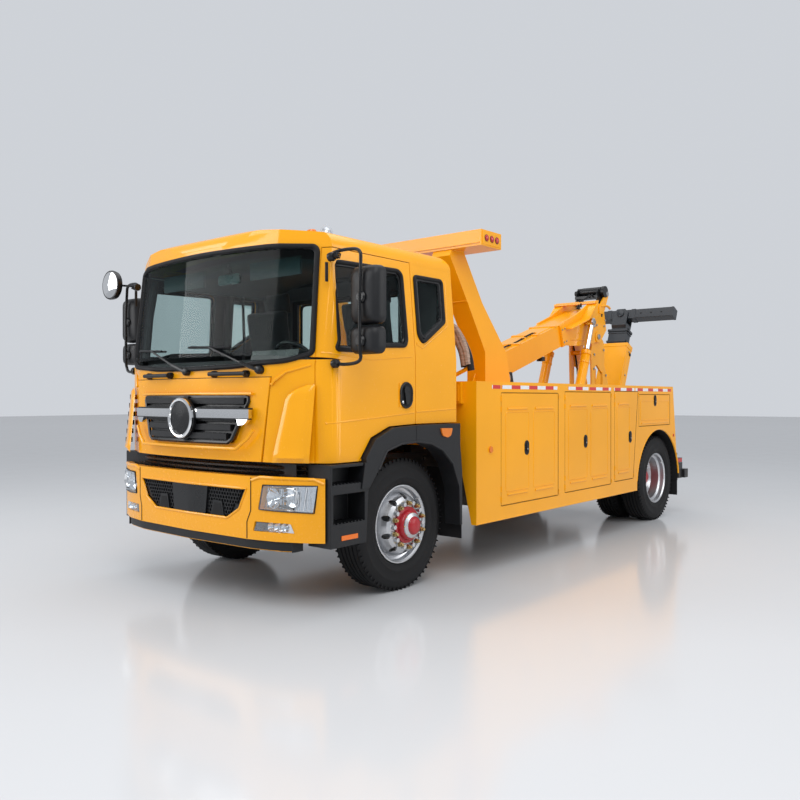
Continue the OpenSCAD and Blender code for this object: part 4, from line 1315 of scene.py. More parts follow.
def cushion_mesh(name, size, centre, tilt, cells, crown=0.035):
    """A closed padded form with drawn-in seams between its sewn channels."""
    sx, sy, sz = size
    nx, ny = 22, 22
    top, low = [], []
    for j in range(ny + 1):
        for i in range(nx + 1):
            u, v = i / nx, j / ny
            bulge = (max(0.0, 1 - abs(2 * u - 1) ** 4) * max(0.0, 1 - abs(2 * v - 1) ** 4)) ** 0.6
            along = (v * cells) % 1.0
            seam = min(along, 1.0 - along)
            groove = math.exp(-(seam * 9) ** 2) * 0.012
            edge = 0.5 + 0.5 * bulge
            top.append(((u - 0.5) * sx, (v - 0.5) * sy,
                sz * 0.5 * edge + crown * bulge - groove * bulge))
            low.append(((u - 0.5) * sx, (v - 0.5) * sy, -sz * 0.5 * edge))
    pts = top + low
    w = nx + 1
    off = len(top)
    faces = []
    for j in range(ny):
        for i in range(nx):
            a = j * w + i
            faces.append([a, a + 1, a + w + 1, a + w])
            faces.append([off + a, off + a + w, off + a + w + 1, off + a + 1])
    rim = [i for i in range(w)] + [j * w + nx for j in range(1, ny + 1)] + [ny * w + i
        for i in range(nx - 1, -1, -1)] + \
          [j * w for j in range(ny - 1, 0, -1)]
    for k in range(len(rim)):
        a, b = rim[k], rim[(k + 1) % len(rim)]
        faces.append([a, off + a, off + b, b])
    turn = Matrix.Translation(Vector(centre) + Vector((0, AXLE_Y, 0))) @ Matrix.Rotation(tilt, 4,
        "X")
    mesh = bpy.data.meshes.new(name)
    mesh.from_pydata([turn @ Vector(p) for p in pts], [], faces)
    mesh.materials.append(mat("cloth"))
    for poly in mesh.polygons:
        poly.use_smooth = True
    obj = bpy.data.objects.new(name, mesh)
    bpy.context.scene.collection.objects.link(obj)
    tidy(obj)
    sub = obj.modifiers.new("round", "SUBSURF")
    sub.levels = sub.render_levels = 1
    return obj


def press(obj, pressure=4.0, limit=0.022):
    """Cloth pass: the cover is blown a little and keeps its sewn shape."""
    rest = [v.co.copy() for v in obj.data.vertices]
    work = bpy.data.objects.new(obj.name + "_work", obj.data.copy())
    bpy.context.scene.collection.objects.link(work)
    cloth_mod = work.modifiers.new("cover", "CLOTH")
    s = cloth_mod.settings
    s.quality = 5
    s.mass = 0.3
    s.tension_stiffness = 25
    s.bending_stiffness = 4
    s.use_pressure = True
    s.uniform_pressure_force = pressure
    s.effector_weights.gravity = 0.0
    cloth_mod.point_cache.frame_start = 1
    cloth_mod.point_cache.frame_end = 12
    scene = bpy.context.scene
    for k in range(1, 13):
        scene.frame_set(k)
    shaped = work.evaluated_get(bpy.context.evaluated_depsgraph_get()).to_mesh()
    for v, start, moved in zip(obj.data.vertices, rest, shaped.vertices):
        step = moved.co - start
        if step.length > limit:
            step = step.normalized() * limit
        v.co = start + step
    bpy.data.objects.remove(work)
    scene.frame_set(1)


class TOWTRUCK_OT_interior(bpy.types.Operator):
    """Padded seats, roof lining, dash details, inner mirror and visors"""

    bl_idname = "towtruck.interior"
    bl_label = "Cab interior"

    def execute(self, context):
        for side, x in (("left", 0.600), ("right", -0.600)):
            base = cushion_mesh(f"seat_cushion_{side}", (0.52, 0.54, 0.10), (x, -0.120, 1.655),
                0.06, 4)
            back = cushion_mesh(f"seat_back_{side}", (0.50, 0.66, 0.11), (x, 0.150, 1.945),
                math.radians(100), 5, 0.03)
            head = cushion_mesh(f"head_rest_{side}", (0.28, 0.18, 0.08), (x, 0.232, 2.335),
                math.radians(98), 1, 0.02)
            for part in (base, back, head):
                press(part)
                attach(part, "cab")
        k = Shape()
        # floor in two levels, engine cover, seat boxes
        k.block((-0.985, 0.985), (-0.900, -0.602), (1.122, 1.150), "trim")
        k.block((-0.985, 0.985), (-0.630, -0.602), (1.150, 1.334), "trim")
        k.block((-1.040, 1.040), (-0.630, 0.460), (1.332, 1.360), "trim")
        k.front(rounded([(-0.380, 1.122), (0.380, 1.122), (0.365, 1.480), (-0.365, 1.480)], 0.05,
            4), -0.98, 0.30, "trim")
        for s in sides():
            k.block((s * 0.6 - 0.20, s * 0.6 + 0.20), (-0.330, 0.100), (1.360, 1.560), "smooth")
            k.block((s * 0.6 - 0.23, s * 0.6 + 0.23), (-0.350, 0.130), (1.560, 1.600), "trim")
        # dash that follows the bowed front, with its shelf and rolled edge
        section = [(0.0, 1.500), (-0.760, 1.540), (-0.712, 1.570), (-0.700, 1.600),
            (-0.704, 1.660), (-0.720, 1.700),
                   (-0.750, 1.735), (-0.820, 1.758), (0.0, 1.728), (0.0, 1.500)]
        xs = [-0.985 + 1.97 * i / 24 for i in range(25)]
        rows = [[(x, y if y else max(-1.080, skin_y(x, 1.70) + 0.055), z) for x in xs] for y,
                z in section]
        k.sheet(rows, "trim")
        for s in sides():
            x = s * 0.985
            k.add([(x, y if y else max(-1.080, skin_y(0.985, 1.70) + 0.055), z) for y,
                   z in section[:-1]],
                  [list(range(len(section) - 1))], "trim")
        # steering wheel, driver on the left
        tilt = Matrix.Translation((0.600, -0.640, 1.690)) @ Matrix.Rotation(math.radians(-58), 4,
            "X")
        ring = [tilt @ Vector((0.220 * math.cos(a), 0.220 * math.sin(a), 0))
                for a in [2 * math.pi * i / 48 for i in range(48)]]
        k.tube(ring, 0.016, "smooth", 10, closed=True)
        for a in (90, 210, 330):
            r = math.radians(a)
            k.tube([tilt @ Vector((d * math.cos(r), d * math.sin(r), -0.01))
                    for d in (0.03, 0.12, 0.215)], 0.015, "smooth", 8)
        hub = tilt @ Vector((0, 0, -0.02))
        axis = (tilt.to_3x3() @ Vector((0, 0, 1)))
        k.turned([(0.062, 0.0), (0.060, 0.026), (0.044, 0.036), (0.0, 0.038)], hub, axis, "smooth",
            32)
        k.rod(hub, hub - axis * 0.24, 0.032, "smooth", 16)
        # roof lining and pillars
        rows = []
        for j in range(9):
            y = -0.72 + 1.16 * j / 8
            rows.append([(x, y, 2.545 - 0.0035 * (abs(x) * 10) ** 2 * 0.35)
                for x in [-1.02 + 2.04 * i / 16 for i in range(17)]])
        k.sheet(rows, "lining")
        for s in sides():
            k.tube([(s * 1.02, -0.88, 1.80), (s * 1.03, -0.84, 2.15), (s * 1.00, -0.80, 2.46)],
                   0.035, "trim", 8)
            k.tube([(s * 1.085, 0.02, 1.45), (s * 1.075, 0.025, 1.9), (s * 1.035, 0.03, 2.46)],
                   0.035, "trim", 8)
            k.block(span(s, 0.28, 0.82), (-0.835, -0.815), (2.345, 2.475), "lining")
            # rear corner trim beside the window
            k.block(span(s, 0.66, 1.05), (0.452, 0.466), (1.36, 2.50), "lining")
        k.block((-0.66, 0.66), (0.452, 0.466), (1.36, 1.86), "lining")
        k.block((-0.66, 0.66), (0.452, 0.466), (2.38, 2.50), "lining")
        # bunk shelf
        k.block((-1.02, 1.02), (0.330, 0.450), (1.40, 1.56), "trim")
        # inner mirror
        k.tube([(0.02, -0.840, 2.50), (0.02, -0.800, 2.43)], 0.008, "smooth", 8)
        ring = rounded([(-0.13, 2.345), (0.13, 2.345), (0.13, 2.425), (-0.13, 2.425)], 0.03, 5)
        k.extrude([(x, -0.812, z) for x, z in ring], (0, 0.018, 0), "smooth")
        # dash: instrument hood, vents, radio block, gear lever
        k.side([(-0.900, 1.745), (-0.740, 1.700), (-0.700, 1.735), (-0.760, 1.800),
                (-0.880, 1.815)], 0.36, 0.86, "smooth")
        for x in (-0.86, -0.42, 0.12, 0.95):
            k.block((x - 0.07, x + 0.07), (-0.705, -0.694), (1.625, 1.685), "seal")
            for n in range(4):
                k.block((x - 0.064, x + 0.064), (-0.698, -0.690),
                        (1.632 + n * 0.014, 1.636 + n * 0.014), "smooth")
        k.block((-0.16, 0.02), (-0.702, -0.690), (1.560, 1.612), "smooth")
        k.tube([(0.10, -0.30, 1.47), (0.11, -0.34, 1.66), (0.115, -0.36, 1.74)], 0.010, "smooth",
               8)
        k.turned([(0.0, -0.03), (0.024, -0.02), (0.030, 0.0), (0.022, 0.022), (0.0, 0.030)],
            (0.116, -0.363, 1.760), (0, 0, 1), "smooth", 20)
        # seat belts
        for s in sides():
            k.tube([(s * 0.86, 0.030, 2.40), (s * 0.85, 0.040, 1.95), (s * 0.86, 0.020, 1.56)],
                   0.022, "seal", 6, flat=((0, 1, 0), 0.15))
        k.done("cab_interior_trim", "cab", 0.003, replaces=("cab_interior",), slot="interior")
        return {"FINISHED"}


DOORS = {1: (1.122, 2.125, 2.125, 0.545, 1.512), 2: (2.268, 3.287, 3.287, 0.555, 1.528),
    3: (3.388, 3.866, 3.996, 0.572, 1.540)}
LATCH = {1: (1.544, 1.025), 2: (2.700, 1.034), 3: (3.786, 1.038)}


WALL_X = 1.2485
ARCH_Y = 4.62
ARCH_Z = 0.46


def moulding(shape, s, outline, name="yellow_low", r=0.006, x=WALL_X):
    shape.tube([(s * x, y, z) for y, z in dense(rounded(outline, 0.02, 3), 0.06)], r, name, 6,
        closed=True)


def latch(shape, s, y, z):
    shape.extrude([(s * 1.2496, a, b) for a, b in oval(y, z, 0.078, 0.132, 24)], (s * 0.004, 0, 0),
        "smooth")
    shape.extrude([(s * 1.2530, a, b) for a, b in oval(y, z, 0.058, 0.110, 24)], (s * 0.001, 0, 0),
        "seal")
    shape.extrude([(s * 1.2535, a, b) for a, b in oval(y, z + 0.006, 0.038, 0.070, 20)],
        (s * 0.007, 0, 0), "smooth")
    shape.turned([(0.008, 0.0), (0.008, 0.004), (0.003, 0.005)], (s * 1.2600, y, z - 0.012),
        (s, 0, 0), "steel", 12)


class TOWTRUCK_OT_lockers(bpy.types.Operator):
    """Embossed panels, latches, hinges, strips and marker lamps of the locker body"""

    bl_idname = "towtruck.lockers"
    bl_label = "Locker body"

    def execute(self, context):
        body = Shape()
        for side, s in NAMED_SIDES:
            for i, (y0, y1, y2, z0, z1) in DOORS.items():
                d = Shape()
                width = y1 - y0
                halves = ((0.07, 0.46), (0.54, 0.93)) if i < 3 else ((0.12, 0.80),)
                for a, b in halves:
                    ya, yb = y0 + width * a, y0 + width * b
                    top = z1 - 0.165
                    moulding(d, s, [(ya, z0 + 0.115), (yb, z0 + 0.115), (yb, top), (ya, top)],
                        r=0.0055)
                    for z in (z1 - 0.135, z0 + 0.085):
                        d.tube([(s * WALL_X, ya + 0.03, z), (s * WALL_X, yb - 0.03, z)], 0.011,
                               "yellow_low", 8)
                latch(d, s, *LATCH[i])
                for z in (z0 + 0.05, z1 - 0.05, z0 + 0.14, z1 - 0.14):
                    d.rod((s * 1.253, y0 - 0.002, z - 0.024), (s * 1.253, y0 - 0.002, z + 0.024),
                          0.0065, "yellow_low", 10)
                d.done(f"locker_door_trim_{side}_{i}", f"locker_door_{side}_{i}", 0.0)
                # shadow joint round the door on the body
                moulding(body, s, [(y0 - 0.006, z0 - 0.006), (y1 + 0.006, z0 - 0.006),
                    (y2 + 0.006, z1 + 0.006), (y0 - 0.006, z1 + 0.006)],
                         "joint", 0.0025, 1.2490)
                for yy, zz in ((y1 + 0.016, z0 + 0.03), (y2 + 0.016, z1 - 0.03)):
                    body.rod((s * 1.252, yy, zz - 0.02), (s * 1.252, yy, zz + 0.02), 0.006,
                        "yellow_low", 8)
            f = Shape()
            moulding(f, s, [(4.075, 1.215), (4.910, 1.215), (4.910, 1.440), (4.075, 1.440)],
                r=0.0055)
            f.tube([(s * WALL_X, 4.10, 1.180), (s * WALL_X, 4.89, 1.180)], 0.010, "yellow_low", 8)
            latch(f, s, 4.495, 1.440)
            f.done(f"locker_flap_trim_{side}", f"locker_flap_{side}", 0.0)
            moulding(body, s, [(4.024, 1.144), (4.961, 1.144), (4.961, 1.514), (4.024, 1.514)],
                "joint", 0.0025, 1.2490)
            # reflective strip in short lengths
            for a, b in ((0.974, 1.105), (1.125, 2.110), (2.330, 2.760), (2.790, 3.290),
                    (3.370, 3.900), (3.930, 4.995)):
                body.block(span(s, 1.2498, 1.2512), (a, b), (1.549, 1.581), "strip")
            body.extrude([(s * 1.2498, y, z) for y, z in oval(0.951, 1.036, 0.050, 0.052, 20)],
                (s * 0.012, 0, 0), "amber")
            body.extrude([(s * 1.2498, y, z) for y, z in oval(5.075, 1.010, 0.024, 0.034, 16)],
                (s * 0.008, 0, 0), "ruby")
            # dark wheel housing inside the arch
            ring = [(ARCH_Y + 0.632 * math.cos(math.radians(a)),
                max(0.44, ARCH_Z + 0.632 * math.sin(math.radians(a)))) for a in range(-2, 183, 6)]
            body.sheet([[(s * x, y, z) for y, z in ring] for x in (0.585, 0.80, 1.02, 1.238)],
                "flap")
            wall = [(s * 0.585, y, z) for y, z in ring]
            body.add(wall, [list(range(len(wall)))], "flap")
            # folded edge over the arch and the body's lower hem
            arc = [(ARCH_Y + 0.642 * math.cos(math.radians(a)),
                    ARCH_Z + 0.642 * math.sin(math.radians(a))) for a in range(6, 175, 6)]
            body.tube([(s * 1.243, y, z) for y, z in arc], 0.011, "yellow_low", 8)
            body.tube([(s * 1.244, 0.752, 0.428), (s * 1.244, 3.97, 0.428)], 0.009, "yellow_low",
                8)
            # bracket on the front wall and its brace
            body.block(span(s, 0.99, 1.12), (0.700, 0.742), (1.425, 1.600), "yellow_low")
            body.block(span(s, 1.01, 1.10), (0.690, 0.702), (1.445, 1.580), "yellow_low")
        # diagonal brace and the wrapped hoses behind the cab
        body.tube([(0.90, 0.765, 1.615), (1.16, 0.800, 1.735)], 0.018, "yellow_low", 8)
        hoses = [(1.13, 0.790, 1.70), (1.10, 0.780, 1.85), (0.99, 0.770, 2.02),
            (0.84, 0.770, 1.96), (0.74, 0.790, 1.66)]
        for k in range(6):
            off = Vector((0.034 * math.cos(k * 1.05), 0.026 * math.sin(k * 1.05), 0.010 * k))
            body.tube([p + off for p in smooth_path(hoses, 6)], 0.030, "film" if k % 3 else "flap",
                8)
        for x in (0.56, 0.66, 0.76):
            body.hose([(x, 0.80, 1.30), (x + 0.01, 0.83, 1.55), (x + 0.05, 0.80, 1.75)], 5, 0.013,
                "flap")
        # checker strips on the deck
        for k in range(14):
            y = 1.86 + k * 0.045
            for x in (-0.56, -0.28, 0.0, 0.28, 0.56):
                body.block((x - 0.10, x + 0.10), (y, y + 0.010), (1.2395, 1.2435), "yellow_low")
        body.done("locker_body_trim", "chassis", 0.0)
        return {"FINISHED"}


class TOWTRUCK_OT_gantry(bpy.types.Operator):
    """End lamps, weld seams and gussets of the gantry"""

    bl_idname = "towtruck.gantry"
    bl_label = "Gantry"

    def execute(self, context):
        g = Shape()
        for s in sides():
            g.block(span(s, 1.205, 1.214), (0.885, 1.165), (2.768, 2.878), "yellow_low")
            for y in (0.945, 1.025, 1.105):
                g.turned([(0.026, 0.0), (0.026, 0.006), (0.020, 0.012), (0.0, 0.015)],
                    (s * 1.213, y, 2.823), (s, 0, 0), "ruby", 24)
                g.turned([(0.030, 0.0), (0.030, 0.004), (0.026, 0.005)], (s * 1.213, y, 2.823),
                    (s, 0, 0), "smooth", 24)
            # weld seams and stiffeners at the bends
            for y, z in ((1.10, 2.330), (1.400, 1.890)):
                g.tube([(s * 0.699, y + 0.01, z), (s * 0.901, y + 0.01, z)], 0.007, "yellow_low",
                       6)
            g.tube([(s * 0.9015, 0.90, 2.752), (s * 0.9015, 1.055, 2.752)], 0.006, "yellow_low", 6)
            g.side([(1.395, 1.340), (1.395, 1.700), (1.340, 1.620), (1.340, 1.340)],
                   *span(s, 0.79, 0.80), "yellow_low")
            for k in range(4):
                y = 1.47 + k * 0.09
                g.bolt(0.016, 0.012, 0.014, (s * 0.60, y, 1.331), (0, 0, 1))
        g.block((-1.19, 1.19), (0.862, 0.870), (2.775, 2.785), "yellow_low")
        # work lamps under the beam, facing the rear
        for x in (-0.55, 0.55):
            g.block((x - 0.07, x + 0.07), (1.165, 1.215), (2.665, 2.745), "smooth")
            g.block((x - 0.062, x + 0.062), (1.214, 1.219), (2.672, 2.738), "lamp")
            g.block((x - 0.010, x + 0.010), (1.150, 1.180), (2.735, 2.760), "steel")
        g.done("gantry_trim", "chassis", 0.0015)
        return {"FINISHED"}


RISE = math.radians(17.2)
FOOT = Vector((0, 2.860, 1.690))


def boom_point(x, u, v):
    return Vector((x, FOOT.y + u * math.cos(RISE) - v * math.sin(RISE),
        FOOT.z + u * math.sin(RISE) + v * math.cos(RISE)))


FOLD = math.radians(23.5)
KNUCKLE = Vector((0, 5.570, 0.750))


def arm_point(x, u, v):
    """u runs up the folded underlift, v to the rear."""
    return Vector((x, KNUCKLE.y + u * math.sin(FOLD) + v * math.cos(FOLD),
        KNUCKLE.z + u * math.cos(FOLD) - v * math.sin(FOLD)))


def slab(shape, place, x, u, v, name):
    pts = [place(a, b, c) for a in x for b in u for c in v]
    shape.add(pts, [[0, 1, 3, 2], [4, 6, 7, 5], [0, 4, 5, 1], [2, 3, 7, 6], [0, 2, 6, 4],
        [1, 5, 7, 3]], name)


class TOWTRUCK_OT_boom(bpy.types.Operator):
    """Pins, hoses, wear pads and stiffeners of the boom, its winch unit and its cylinders"""

    bl_idname = "towtruck.boom"
    bl_label = "Boom and cylinders"

    def execute(self, context):
        b = Shape()
        # strip and clamps along the top, two hoses with clips
        slab(b, boom_point, (-0.13, 0.13), (0.35, 1.36), (0.272, 0.279), "yellow_low")
        for u in (0.42, 0.86, 1.30):
            slab(b, boom_point, (-0.183, 0.183), (u, u + 0.05), (0.268, 0.288), "yellow_low")
        for x, r in ((0.06, 0.0055), (0.085, 0.0055)):
            path = [boom_point(x, u, 0.287 + 0.006 * math.sin(u * 9))
                    for u in [0.15 + 0.06 * k for k in range(15)]]
            b.tube(path, r, "flap", 8)
        for u in (0.40, 0.70, 0.96):
            slab(b, boom_point, (0.045, 0.100), (u, u + 0.025), (0.277, 0.296), "yellow_low")
        # wear pads in the mouth and their bolts
        for s in sides():
            slab(b, boom_point, span(s, 0.199, 0.207), (1.405, 1.520), (0.02, 0.245), "yellow_low")
            for u in (1.430, 1.495):
                for v in (0.05, 0.21):
                    b.bolt(0.012, 0.008, 0.009, boom_point(s * 0.206, u, v), (s, 0, 0))
            # pin bosses on the head, the link pin and the slot, drawn as a flat dark patch:
            # painted shade in the slot
            b.turned([(0.075, 0.0), (0.075, 0.010), (0.060, 0.014)], (s * 0.195, 5.160, 2.285),
                (s, 0, 0), "yellow_low", 32)
            b.turned([(0.036, 0.0), (0.036, 0.022), (0.026, 0.026)], (s * 0.200, 5.160, 2.285),
                (s, 0, 0), "steel", 24)
            b.turned([(0.034, 0.0), (0.034, 0.012), (0.022, 0.016)], (s * 0.206, 5.420, 2.880),
                (s, 0, 0), "steel", 24)
            b.extrude([(s * 0.1965, y, z) for y,
                z in rounded([(5.262, 2.560), (5.300, 2.560), (5.318, 2.640), (5.275, 2.650)],
                    0.012, 3)],
                      (s * 0.0015, 0, 0), "seal")
            for y, z in ((5.070, 2.420), (5.130, 2.440), (5.350, 2.440), (5.385, 2.520)):
                b.bolt(0.016, 0.010, 0.012, (s * 0.196, y, z), (s, 0, 0))
            # ribs on the head and the edge of the canopy
            b.tube([(s * 0.197, y, z) for y, z in ((4.40, 2.20), (4.82, 2.215), (5.03, 2.250))],
                   0.007, "yellow_low", 6)
            b.tube([(s * 0.300, y, z) for y, z in ((4.26, 2.336), (4.695, 2.478), (4.945, 2.722))],
                   0.009, "yellow_low", 6)
            # handle bar at the head
            b.hose([(s * 0.200, 5.240, 2.700), (s * 0.215, 5.330, 2.715),
                    (s * 0.215, 5.440, 2.710), (s * 0.205, 5.515, 2.690)], 4,
                   0.016, "yellow_low")
            # foot pin caps
            b.turned([(0.075, 0.0), (0.075, 0.012), (0.06, 0.016)], (s * 0.180, 2.860, 1.690),
                (s, 0, 0), "yellow_low", 28)
            # eye brackets under the canopy that take the rods
            b.side([(4.760, 2.420), (4.905, 2.420), (4.935, 2.560), (4.800, 2.560)],
                   *span(s, 0.205, 0.230), "yellow_low")
        # gusset plates across the head
        b.front([(-0.30, 2.700), (0.30, 2.700), (0.30, 2.728), (-0.30, 2.728)], 4.880, 4.962,
                "yellow_low")
        # winch motor and roller guides
        b.rod((-0.10, 5.335, 2.915), (0.17, 5.335, 2.915), 0.058, "smooth", 28)
        b.rod((-0.215, 5.335, 2.905), (-0.10, 5.335, 2.905), 0.036, "smooth", 24)
        b.rod((-0.212, 5.400, 2.960), (0.212, 5.400, 2.960), 0.020, "smooth", 16)
        b.rod((0.17, 5.365, 2.905), (0.215, 5.365, 2.905), 0.078, "smooth", 28)
        b.block((-0.165, 0.165), (5.215, 5.385), (2.815, 2.850), "smooth")
        for x in (-0.15, 0.15):
            b.side([(5.225, 2.72), (5.375, 2.72), (5.40, 2.86), (5.33, 2.94), (5.26, 2.94),
                    (5.215, 2.86)], x - 0.008, x + 0.008, "smooth")
        b.hose([(0.05, 5.22, 2.86), (0.03, 5.12, 2.80), (0.04, 4.98, 2.76), (0.07, 4.82, 2.64)], 5,
               0.011, "flap")
        b.hose([(0.09, 5.22, 2.86), (0.08, 5.10, 2.81), (0.09, 4.96, 2.765), (0.10, 4.80, 2.63)],
               5, 0.011, "flap")
        # valve hanging under the boom
        b.block((0.10, 0.17), (3.72, 3.80), (1.930, 1.965), "smooth")
        b.tube([(0.135, 3.76, 1.965), (0.135, 3.78, 2.02)], 0.012, "smooth", 8)
        b.turned([(0.05, 0), (0.05, 0.016), (0.02, 0.022)], (0.135, 3.76, 1.912), (0, 0, 1),
            "smooth", 20)
        b.done("boom_trim", "boom", 0.0015)
        # wire rope on the drum
        r = Shape()
        coil = [(-0.145 + 0.29 * k / 260, 5.420 + 0.045 * math.cos(k * 0.48),
            2.880 + 0.045 * math.sin(k * 0.48)) for k in range(261)]
        r.tube(coil, 0.0065, "rope", 6)
        for s in sides():
            r.turned([(0.050, 0.0), (0.060, 0.004), (0.060, 0.012), (0.050, 0.016)],
                (s * 0.149, 5.420, 2.880), (s, 0, 0), "smooth", 32)
        r.done("winch_rope", "winch_drum", 0.0)
        # cylinder details
        c = Shape()
        a = Vector((0, 4.250, 0.960))
        d = Vector((0, 4.835 - 4.250, 2.450 - 0.960)).normalized()
        for s in sides():
            x = s * 0.268
            at = lambda t: Vector((x, a.y + d.y * t, a.z + d.z * t))
            c.turned([(0.064, 0.0), (0.070, 0.004), (0.070, 0.055), (0.062, 0.062),
                (0.0375, 0.064)], at(1.140), d, "yellow_low", 32)
            c.turned([(0.0375, 0.0), (0.0500, 0.0), (0.0500, 0.012), (0.0375, 0.014)], at(1.203),
                d, "smooth", 32)
            for t in (0.16, 1.02):
                c.turned([(0.0625, 0.0), (0.0665, 0.004), (0.0665, 0.026), (0.0625, 0.03)], at(t),
                    d, "yellow_low", 32)
            side = Vector((0, -d.z, d.y))
            p0, p1 = at(0.20) + side * -0.085, at(1.06) + side * -0.085
            c.tube([at(0.20) + side * -0.055, p0, p1, at(1.06) + side * -0.055], 0.009, "steel", 8)
            c.hose([at(0.14) + side * -0.06, at(0.10) + side * -0.12, at(-0.02) + side * -0.14], 4,
                   0.012, "flap")
        c.done("cylinder_trim", "lift_barrels", 0.0)
        e = Shape()
        for s in sides():
            x0 = s * 0.268
            for off in (-0.033, 0.033):
                e.turned([(0.040, 0.0), (0.040, 0.010), (0.028, 0.014)], (x0 + off, 4.835, 2.450),
                    (math.copysign(1, off), 0, 0), "steel", 24)
        e.done("rod_pin_caps", "lift_rods", 0.0)
        # sheaves and pin on the inner boom's head
        n = Shape()
        for x in (-0.026, 0.026):
            n.turned([(0.0665, -0.0165), (0.070, -0.016), (0.064, -0.005), (0.064, 0.005),
                (0.070, 0.016), (0.0665, 0.0165)],
                     boom_point(x, 2.590, 0.140), (1, 0, 0), "steel", 32)
        for x in (-0.091, 0.091):
            n.turned([(0.026, 0), (0.026, 0.008), (0.018, 0.012)], boom_point(x, 2.590, 0.140),
                (math.copysign(1, x), 0, 0), "steel", 20)
        n.done("boom_head_sheaves", "inner_boom", 0.0)
        return {"FINISHED"}


class TOWTRUCK_OT_underlift(bpy.types.Operator):
    """Pins, pads, grips and hoses of the mast link, underlift and crossbar"""

    bl_idname = "towtruck.underlift"
    bl_label = "Underlift and crossbar"

    def execute(self, context):
        m = Shape()
        for s in sides():
            m.turned([(0.062, 0.0), (0.062, 0.014), (0.045, 0.018)], (s * 0.165, 5.570, 0.750),
                (s, 0, 0), "yellow_low", 32)
            m.turned([(0.030, 0.0), (0.030, 0.026), (0.020, 0.030)], (s * 0.165, 5.570, 0.750),
                (s, 0, 0), "steel", 24)
            for y, z in ((5.40, 2.12), (5.12, 2.05), (5.47, 1.78), (5.11, 1.86)):
                m.bolt(0.018, 0.010, 0.012, (s * 0.165, y, z), (s, 0, 0))
            m.tube([(s * 0.166, y, z) for y, z in ((5.37, 1.83), (5.37, 1.10), (5.16, 1.10),
                (5.16, 1.86))], 0.006, "yellow_low", 6)
            m.hose([(s * 0.130, 5.10, 2.20), (s * 0.125, 5.20, 1.90), (s * 0.125, 5.24, 1.40),
                    (s * 0.120, 5.30, 0.95)], 6,
                   0.011, "flap")
        m.done("mast_trim", "mast_link", 0.0)
        u = Shape()
        for s in sides():
            slab(u, arm_point, span(s, 0.189, 0.194), (0.30, 1.42), (-0.045, 0.045), "yellow_low")
            for t in (0.42, 0.78, 1.14, 1.50):
                u.bolt(0.015, 0.010, 0.012, arm_point(s * 0.193, t, 0.0), (s, 0, 0))
            slab(u, arm_point, span(s, 0.186, 0.196), (1.545, 1.612), (-0.087, 0.087),
                 "yellow_low")
        slab(u, arm_point, (-0.192, 0.192), (1.560, 1.612), (0.080, 0.088), "yellow_low")
        slab(u, arm_point, (-0.192, 0.192), (1.560, 1.612), (-0.088, -0.080), "yellow_low")
        u.turned([(0.024, 0.0), (0.024, 0.012), (0.0, 0.016)], arm_point(0.188, 1.48, 0.045),
            (1, 0, 0), "smooth", 16)
        u.done("underlift_arm_trim", "underlift_arm", 0.001)
        v = Shape()
        # wiper ring and stepped collar on the slide
        for h0, h1, w, t in ((1.640, 1.665, 0.152, 0.074), (1.780, 1.800, 0.148, 0.070),
                (1.812, 1.848, 0.156, 0.078)):
            for s in sides():
                slab(v, arm_point, span(s, 0.138, w), (h0, h1), (-t, t), "slate")
                slab(v, arm_point, (-w, w), (h0, h1), span(s, 0.060, t), "slate")
        end = arm_point(0, 2.087, 0.093)
        axis = Vector((0, math.cos(FOLD), -math.sin(FOLD)))
        v.turned([(0.052, 0.0), (0.052, 0.014), (0.034, 0.020), (0.0, 0.022)], end, axis, "slate",
            32)
        v.turned([(0.052, 0.0), (0.052, 0.014), (0.034, 0.020), (0.0, 0.022)],
            arm_point(0, 2.087, -0.093), -axis, "slate", 32)
        v.done("underlift_slide_trim", "underlift_slide", 0.0015)
        c = Shape()
        for s in sides():
            slab(c, arm_point, span(s, 0.740, 0.772), (2.0155, 2.1585), (-0.0715, 0.0715), "slate")
            for x in (0.30, 0.45, 0.60):
                c.turned([(0.012, 0.0), (0.012, 0.002), (0.0, 0.0022)],
                    arm_point(s * x, 2.087, 0.070), axis, "seal", 16)
                c.turned([(0.012, 0.0), (0.012, 0.002), (0.0, 0.0022)],
                    arm_point(s * x, 2.087, -0.070), -axis, "seal", 16)
            slab(c, arm_point, span(s, 0.150, 0.215), (2.012, 2.162), (-0.074, 0.074), "slate")
        c.done("crossbar_trim", "crossbar", 0.001)
        return {"FINISHED"}


